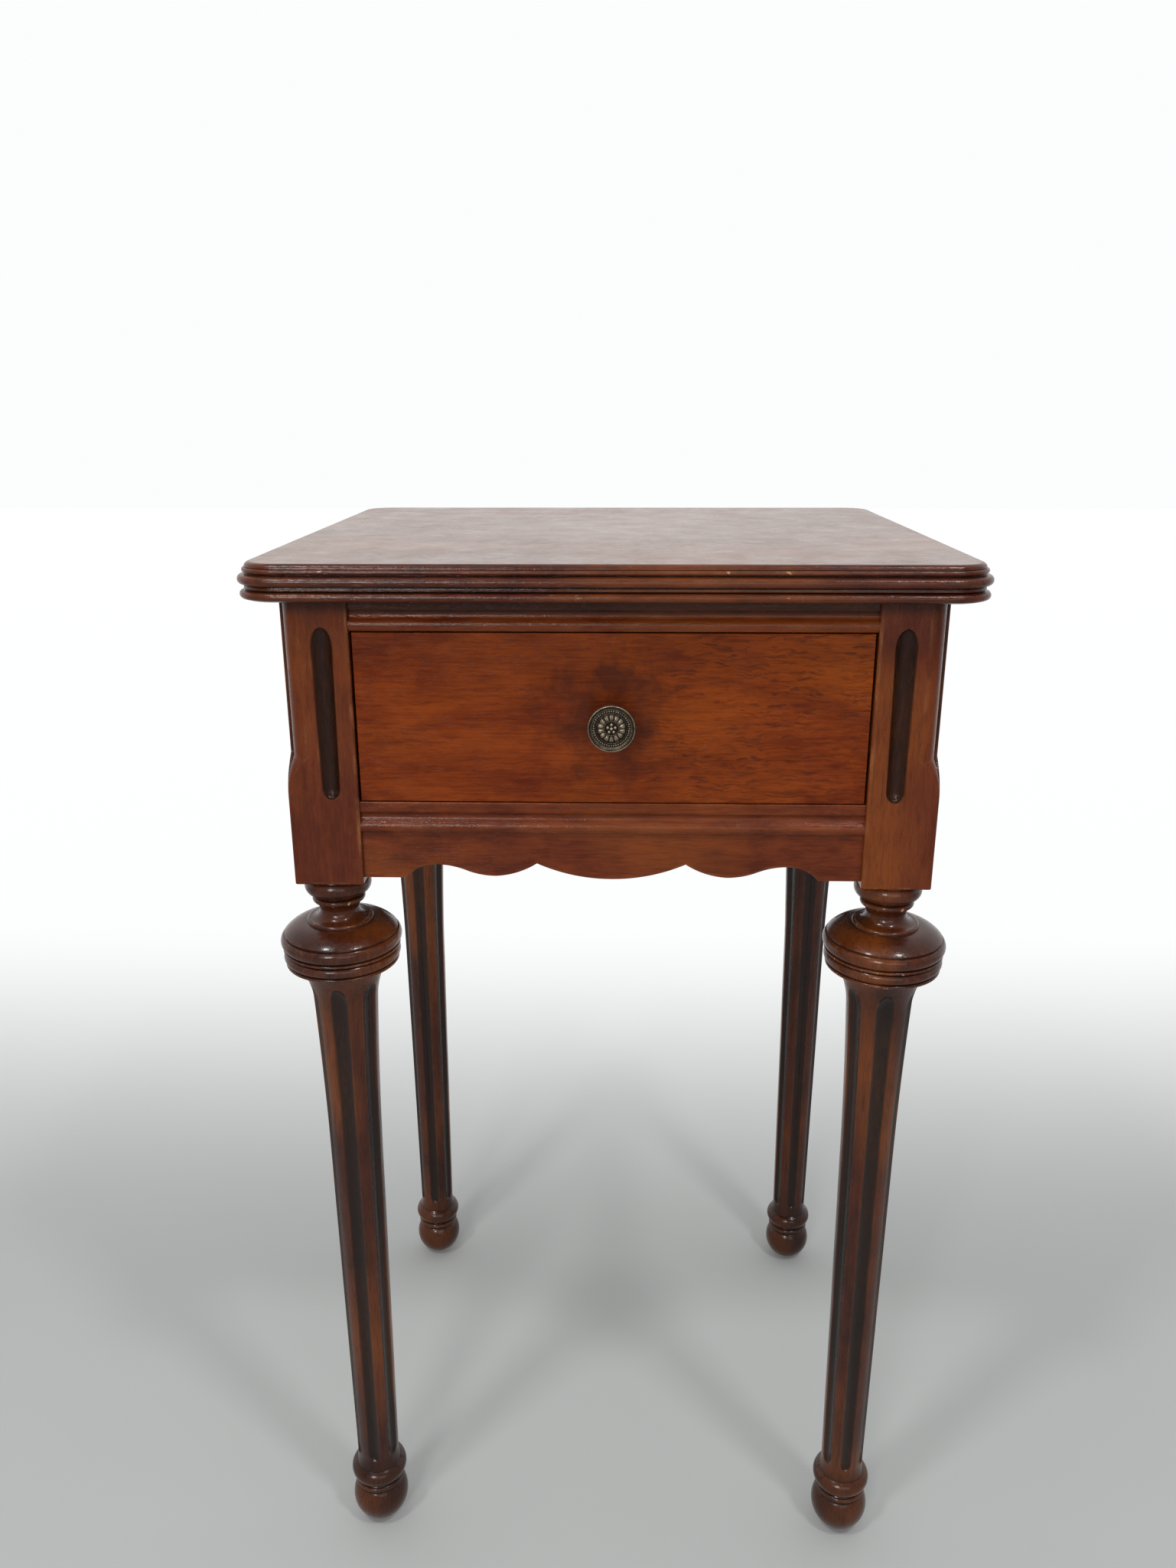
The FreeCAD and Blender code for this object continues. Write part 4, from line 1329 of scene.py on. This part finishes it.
# ---------------------------------------------------------------------------- rails and boards
@dataclass
class FrontRail:
    """Rail with a flat, a cove and a bead on its face, above or below the drawer."""

    node: str
    floor_z: float
    roof_z: float
    face_y: float = -173.7
    half_width: float = 155.3
    depth: float = 43.2
    moulded_depth: float = 8.0
    # height above which painted shadow of the top's overhang darkens the rail's face
    shade_z: float = 704.4
    stations: int = 60

    def section(self) -> np.ndarray:
        """Section of the rail, down its moulded face and round its back.

        Returns:
            (n, 2) points of (recess behind the posts' faces, depth below its upper face).
        """
        height = self.roof_z - self.floor_z
        face = [Bend((2.7, 0.15), (2.5, 0.5)), Line((2.5, 4.8)), Bend((2.6, 5.9), (3.0, 7.0)),
                Bend((4.0, 9.6), (3.1, 12.0)), Bend((0.8, 16.0), (1.7, height - 0.8)),
                Bend((2.3, height - 0.2), (3.0, height))]
        back = [Line((10, height)), Line((self.depth, height)), Line((self.depth, 0)),
                Line((10, 0))]
        return trace((3.0, 0.0), face + back, 0.45)

    def build(self, finishes: Finishes) -> Piece:
        """Carry the section from post to post.

        Args:
            finishes: the materials.

        Returns:
            The rail.
        """
        section = self.section()
        station = np.linspace(-self.half_width, self.half_width, self.stations)[:, None]
        shape = (len(station), len(section))
        height = self.roof_z - section[:, 1]
        rings = np.stack([np.broadcast_to(station, shape),
                          np.broadcast_to(self.face_y + section[:, 0], shape),
                          np.broadcast_to(height, shape)], -1)
        on_face = section[:, 0] < self.moulded_depth
        lift = np.where(on_face, relief(-section[::-1], 7.0)[::-1], 0)
        # painted shadow of the top's overhang on the upper flat of the rail
        shade = np.where(on_face, 0.8 * np.clip((height - self.shade_z) / 2.0, 0, 1), 0)
        # painted shade darkens the cove, joined with the painted shadow of the top above it
        stain = np.maximum(np.clip(-lift / 0.9 - 0.2, 0, 0.4), shade)
        marks = {"wear": np.broadcast_to(np.clip(lift / 0.5, 0, 1), shape),
                 "stain": np.broadcast_to(stain, shape)}
        piece = skin("moulded_" + self.node, rings, marks, 38.0)
        dress(piece, finishes.rail)
        return stand_for(piece, "carcass", self.node)


@dataclass
class ShapedApron:
    """Board under the lower rail whose lower edge has a broad lobe between two smaller ones."""

    half_width: float = 155.3
    roof_z: float = 569.5
    face_y: float = -170.2
    thickness: float = 18.0
    arris: float = 0.8

    def lower_edge(self) -> np.ndarray:
        """Right-hand half of the lower edge.

        Returns:
            (n, 2) points of (x, z) from the middle to the post.
        """
        parts = [Bend((23.2, 541.3), (46.4, 549.0)), Bend((58.6, 543.0), (72.0, 540.4)),
                 Bend((82.2, 541.4), (91.0, 544.1)), Bend((99.8, 546.8), (110.0, 547.8)),
                 Bend((121.4, 545.0), (129.5, 538.8)), Line((self.half_width, 538.8))]
        return trace((0.0, 538.9), parts, 1.2)

    def build(self, finishes: Finishes) -> Piece:
        """Carry a section along the apron, with its foot on the shaped edge and a straight head.

        Args:
            finishes: the materials.

        Returns:
            The apron.
        """
        right = self.lower_edge()
        edge = np.concatenate([right[:0:-1] * np.array([-1, 1]), right])
        share = np.array([0.0, 0.0, 0.0, 0.06, 0.3, 0.6, 1.0])
        rise = np.array([0.0, 0.25, 1.0, 1.0, 1.0, 1.0, 0.0]) * self.arris
        back_in = np.array([1.0, 0.25, 0.0, 0.0, 0.0, 0.0, 0.0]) * self.arris
        rub = np.array([0.8, 1.0, 0.8, 0, 0, 0, 0])
        share = np.concatenate([share, share[::-1]])
        rise = np.concatenate([rise, rise[::-1]])
        across = np.concatenate([back_in, self.thickness - back_in[::-1]])
        wear = np.tile(np.concatenate([rub, rub[::-1]]), (len(edge), 1))
        foot = edge[:, 1:]
        shape = (len(edge), len(share))
        rings = np.stack([np.broadcast_to(edge[:, :1], shape),
                          np.broadcast_to(self.face_y + across, shape),
                          foot + share * (self.roof_z - foot) + rise], -1)
        piece = skin("shaped_apron", rings, {"wear": wear, "stain": np.zeros(shape)}, 38.0)
        dress(piece, finishes.rail)
        return stand_for(piece, "carcass", "front_apron")


@dataclass
class CaseBoard:
    """Side or back board of the case, with eased arrises, the size of its CAD node."""

    node: str
    grain: Grain
    ease: float = 0.8

    def build(self, material: Material) -> Piece:
        """Make the board where its CAD node is.

        Args:
            material: its finish.

        Returns:
            The board.
        """
        low, high = (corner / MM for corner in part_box(self.node))
        piece = eased_board("eased_" + self.node, low, high, self.ease, self.grain)
        dress(piece, material)
        return stand_for(piece, "carcass", self.node)


# ---------------------------------------------------------------------------- drawer and knob
@dataclass
class DrawerBox:
    """The drawer's boards. They keep their CAD shapes, with dovetails, and get soft arrises."""

    arris: float = 0.45
    weld_mm: float = 0.01
    sharp_degrees: float = 50.0

    def soften(self, node: Piece) -> None:
        """Merge the loose triangles and round the arrises, as modifiers.

        Args:
            node: the CAD board.
        """
        weld = node.modifiers.new("weld", "WELD")
        weld.merge_threshold = self.weld_mm * MM
        bevel = node.modifiers.new("arris", "BEVEL")
        bevel.width = self.arris * MM
        bevel.segments = 2
        bevel.limit_method = "ANGLE"
        bevel.angle_limit = math.radians(self.sharp_degrees)

    def build(self, finishes: Finishes) -> None:
        """Dress every board of the drawer.

        Args:
            finishes: the materials.
        """
        finish = {"drawer_front": finishes.drawer, "drawer_left_side": finishes.lining_y,
                  "drawer_right_side": finishes.lining_y, "drawer_back": finishes.lining_x,
                  "drawer_bottom": finishes.lining_x}
        for name, material in finish.items():
            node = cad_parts[name]
            dress(node, material)
            if name != "drawer_bottom":
                self.soften(node)
            LOG.info("%s: CAD board dressed", name)


@dataclass
class RosetteKnob:
    """Round cast knob: raised rim, channel, ring of beads, ring of petals and a seeded middle."""

    axis_z: float = 642.5
    front_y: float = -171.2
    reach: float = 22.0
    face_depth: float = 3.0
    channel_radius: float = 11.2
    beads: int = 48
    bead_ring: float = 10.4
    petals: int = 14
    petal_ring: float = 6.4
    seeds: int = 5
    seed_ring: float = 2.35
    around: int = 384
    stem_around: int = 64

    def profile(self) -> np.ndarray:
        """Half outline from the middle of the face, over the rim and round to the neck.

        Returns:
            (n, 2) points of (radius, distance in front of the drawer).
        """
        reach = self.reach
        face = trace((0.15, reach - 1.1),
                     [Line((9.0, reach - 1.6)), Line((11.0, reach - 1.6))], 0.13)
        rim = trace((11.0, reach - 1.6),
                    [Bend((12.4, reach - 1.3), (13.05, reach - 0.4)),
                     Bend((13.5, reach), (13.9, reach - 0.6)),
                     Bend((14.0, reach - 2.2), (13.7, reach - 3.8)),
                     Bend((11.2, reach - 7.0), (6.2, reach - 8.0))], 0.3)
        return np.concatenate([face, rim[1:]])

    def about_axis(self, radius: np.ndarray, out: np.ndarray, angle: np.ndarray) -> np.ndarray:
        """Circles about the knob's axis.

        Args:
            radius: (n, 1) distances from the axis.
            out: (n, 1) or (n, m) distances in front of the drawer.
            angle: (1, m) angles about the axis.

        Returns:
            (n, m, 3) places.
        """
        shape = (len(radius), angle.shape[1])
        return np.stack([radius * np.cos(angle), np.broadcast_to(self.front_y - out, shape),
                         self.axis_z + radius * np.sin(angle)], -1)

    def ornament(self, radius: np.ndarray, angle: np.ndarray) -> np.ndarray:
        """Height of the cast ornament above the dish, in millimetres.

        Beads are half balls on a ring, petals are rounded lobes with a sunk vein, and the middle
        is a ball inside a ring of five.

        Args:
            radius: (n, 1) distance from the axis.
            angle: (1, m) angle about the axis.

        Returns:
            (n, m) heights.
        """
        bead_angle = (angle * self.beads / math.tau + 0.5) % 1 - 0.5
        bead_side = bead_angle * math.tau / self.beads * self.bead_ring
        bead_out = radius - self.bead_ring
        bead = 1 - (bead_out / 0.72) ** 2 - (bead_side / 0.58) ** 2
        bead = np.sqrt(np.clip(bead, 0, 1)) * 0.7
        wave = np.abs(np.sin(angle * self.petals / 2))
        lobe = wave ** 0.6
        tip = np.abs((radius - self.petal_ring) / (1.3 + 0.9 * lobe)) ** 2.4
        vein = 1 - 0.45 * np.exp(-((wave - 1) / 0.012) ** 2)
        petal = 0.85 * np.clip(1 - tip, 0, 1) * lobe * vein
        calyx = 0.45 * np.clip(1 - ((radius - 4.4) / 0.55) ** 2, 0, 1)
        calyx = calyx * (0.7 + 0.3 * np.cos(angle * 20))
        balls = np.zeros_like(petal)
        for number in range(self.seeds):
            turn = math.tau * number / self.seeds + math.pi / 2
            away = np.hypot(radius * np.cos(angle) - self.seed_ring * math.cos(turn),
                            radius * np.sin(angle) - self.seed_ring * math.sin(turn))
            balls = np.maximum(balls, np.sqrt(np.clip(1 - (away / 1.05) ** 2, 0, 1)))
        ones = np.ones_like(petal)
        middle = np.sqrt(np.clip(1 - (radius / 1.15) ** 2, 0, 1)) * ones
        ring = 0.35 * np.clip(1 - ((radius - 9.05) / 0.3) ** 2, 0, 1) * ones
        return np.maximum.reduce([bead, ring, petal, calyx * ones, balls * 0.9, middle])

    def build_head(self, finishes: Finishes) -> Piece:
        """Turn the outline about the knob's axis and raise the ornament on its face.

        Args:
            finishes: the materials.

        Returns:
            The knob's head.
        """
        profile = self.profile()
        radius, out = profile[:, :1], profile[:, 1:]
        angle = np.arange(self.around)[None, :] * math.tau / self.around
        front = out > self.reach - self.face_depth
        on_face = (radius < self.channel_radius) & front
        raised = np.where(on_face, self.ornament(radius, angle), 0.0)
        rim = np.clip(1 - np.abs(radius - 13.75) / 0.5, 0, 1) * front
        marks = {"wear": np.maximum(np.clip(raised / 0.8, 0, 1) ** 2, rim),
                 "stain": np.where(on_face, np.clip(1 - raised / 0.55, 0, 1) * 0.9, 0.0)}
        rings = self.about_axis(radius, out + raised, angle)
        piece = skin("rosette_knob_head", rings, marks, 60.0)
        dress(piece, finishes.brass)
        return stand_for(piece, "drawer", "knob_head")

    def build_stem(self, finishes: Finishes) -> Piece:
        """Turn the waisted stem and its foot.

        Args:
            finishes: the materials.

        Returns:
            The stem.
        """
        back = self.reach - 8.0
        profile = trace((0.5, 0.02),
                        [Line((8.8, 0.02)), Bend((9.1, 0.5), (8.9, 1.1)), Line((8.1, 1.7)),
                         Bend((4.9, 6.0), (6.0, back - 0.02)), Line((0.5, back - 0.02))], 0.4)
        angle = np.arange(self.stem_around)[None, :] * math.tau / self.stem_around
        radius, out = profile[:, :1], profile[:, 1:]
        rings = self.about_axis(radius, out, angle)
        shape = rings.shape[:2]
        wear = np.broadcast_to(np.clip((radius - 7.5) / 1.5, 0, 0.6), shape)
        piece = skin("knob_neck", rings, {"wear": wear, "stain": np.zeros(shape)}, 50.0)
        dress(piece, finishes.brass)
        return stand_for(piece, "drawer", "knob_stem")


# ---------------------------------------------------------------------------- hidden pieces
def dress_hidden(finishes: Finishes) -> None:
    """Give the CAD pieces inside the case their bare wood and steel.

    Args:
        finishes: the materials.
    """
    groups = (
        (finishes.softwood_y, ("left_runner", "right_runner", "left_guide", "right_guide",
                               "left_kicker", "right_kicker")),
        (finishes.softwood_x, ("drawer_stops", "apron_glue_blocks")),
        (finishes.beech, ("rail_dowels", "panel_dowels")),
        (finishes.steel, ("top_screws", "runner_screws", "drawer_bottom_nails", "knob_washer",
                          "knob_bolt")))
    for material, names in groups:
        for name in names:
            dress(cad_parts[name], material)
            LOG.info("%s: CAD piece dressed", name)


# ---------------------------------------------------------------------------- studio
@dataclass
class Studio:
    """Pale floor, soft lights and the camera."""

    camera_place: tuple[float, float, float] = (5.4, -860.5, 823.7)
    pitch: float = 17.823
    yaw: float = -1.639
    roll: float = 0.12
    focal_mm: float = 27.273206
    sensor_mm: float = 36.0
    case_middle: tuple[float, float, float] = (0.0, 0.0, 500.0)
    floor_reach: float = 9000.0
    white: str = "#fcfdfd"

    def floor(self) -> None:
        """Large floor, pale grey round the table and glowing white behind it, like a backdrop."""
        reach = self.floor_reach * MM
        mesh = bpy.data.meshes.new("floor")
        corners = [(sx * reach, sy * reach, 0.0) for sx, sy in ((-1, -1), (1, -1), (1, 1), (-1, 1))]
        mesh.from_pydata(corners, [], [(0, 1, 2, 3)])
        floor = bpy.data.objects.new("floor", mesh)
        bpy.context.scene.collection.objects.link(floor)
        made, tree, shader = node_material("pale_floor")
        place = stretched_place(tree, Grain.ALONG_X, 1.0)
        behind = add_node(tree, "ShaderNodeSeparateXYZ", {0: place}).outputs["Y"]
        lit = add_node(tree, "ShaderNodeMapRange",
                       {"Value": behind, "From Min": 0.1, "From Max": 0.95},
                       interpolation_type="SMOOTHSTEP").outputs["Result"]
        scuffs = spread(tree, cloud(tree, place, 260.0, 3.0), 0.3, 0.7, 0.0, 0.12)
        colour = blend_colour(tree, scuffs, linear("#b0b2b1"), linear("#a4a6a5"))
        colour = blend_colour(tree, lit, colour, linear("#000000"))
        plug(tree, shader, {"Base Color": colour, "Emission Strength": lit, "Roughness": 0.85,
                            "Emission Color": linear(self.white), "Specular IOR Level": 0.1})
        dress(floor, made)

    def light(self, name: str, place: Sequence[float], size: Sequence[float],
              watts: float) -> None:
        """Rectangular soft light that looks at the middle of the case.

        Args:
            name: the light's name.
            place: where it hangs.
            size: its two sides.
            watts: its power.
        """
        data = bpy.data.lights.new(name, "AREA")
        data.energy = watts
        data.shape = "RECTANGLE"
        data.size, data.size_y = (side * MM for side in size)
        lamp = bpy.data.objects.new(name, data)
        lamp.location = Vector(place) * MM
        aim = Vector(self.case_middle) * MM - lamp.location
        lamp.rotation_euler = aim.to_track_quat("-Z", "Y").to_euler()
        bpy.context.scene.collection.objects.link(lamp)

    def camera(self) -> None:
        """Pinhole camera from a place, three turns and a focal length."""
        pitch, yaw, roll = (math.radians(a) for a in (self.pitch, self.yaw, self.roll))
        forward = Vector((math.sin(yaw) * math.cos(pitch), math.cos(yaw) * math.cos(pitch),
                          -math.sin(pitch)))
        level = Vector((math.cos(yaw), -math.sin(yaw), 0))
        down = forward.cross(level)
        right = math.cos(roll) * level + math.sin(roll) * down
        below = -math.sin(roll) * level + math.cos(roll) * down
        data = bpy.data.cameras.new("camera")
        data.lens = self.focal_mm
        data.sensor_width = self.sensor_mm
        data.clip_start = 0.01
        camera = bpy.data.objects.new("camera", data)
        turn = Matrix((right, -below, -forward)).transposed().to_4x4()
        camera.matrix_world = Matrix.Translation(Vector(self.camera_place) * MM) @ turn
        bpy.context.scene.collection.objects.link(camera)
        bpy.context.scene.camera = camera

    def build(self) -> None:
        """Set the studio up."""
        self.floor()
        self.light("window", (-800, -2700, 1500), (600, 900), 28)
        self.light("left_lamp", (-800, -1000, 2350), (230, 230), 12)
        self.light("right_lamp", (800, -1000, 2350), (230, 230), 12)
        self.light("front_fill", (700, -2700, 1150), (1500, 1200), 8)
        world = bpy.data.worlds.new("studio")
        world.use_nodes = True
        tree = world.node_tree
        heading = add_node(tree, "ShaderNodeTexCoord").outputs["Generated"]
        behind = add_node(tree, "ShaderNodeSeparateXYZ", {0: heading}).outputs["Y"]
        plug(tree, tree.nodes["Background"],
             {"Strength": spread(tree, behind, -0.5, 0.5, 0.42, 1.0), "Color": linear(self.white)})
        bpy.context.scene.world = world
        bpy.context.scene.view_settings.view_transform = "Standard"
        self.camera()


# ---------------------------------------------------------------------------- all together
def main() -> None:
    """Build the table piece by piece, then the studio."""
    logging.basicConfig(level=logging.INFO, format="%(name)s %(message)s")
    finishes = Finishes()
    TableTop().build(finishes)
    for end in End:
        for side in Side:
            CornerPost(side, end).build(finishes)
            TurnedLeg(side, end).build(finishes)
    FrontRail("upper_rail", 695.5, 715.0).build(finishes)
    FrontRail("lower_rail", 569.5, 589.5).build(finishes)
    ShapedApron().build(finishes)
    CaseBoard("left_side_panel", Grain.ALONG_Y).build(finishes.side)
    CaseBoard("right_side_panel", Grain.ALONG_Y).build(finishes.side)
    CaseBoard("back_panel", Grain.ALONG_X).build(finishes.back)
    DrawerBox().build(finishes)
    knob = RosetteKnob()
    knob.build_head(finishes)
    knob.build_stem(finishes)
    dress_hidden(finishes)
    Studio().build()
    bpy.context.view_layer.update()


if __name__ == "__main__":
    main()
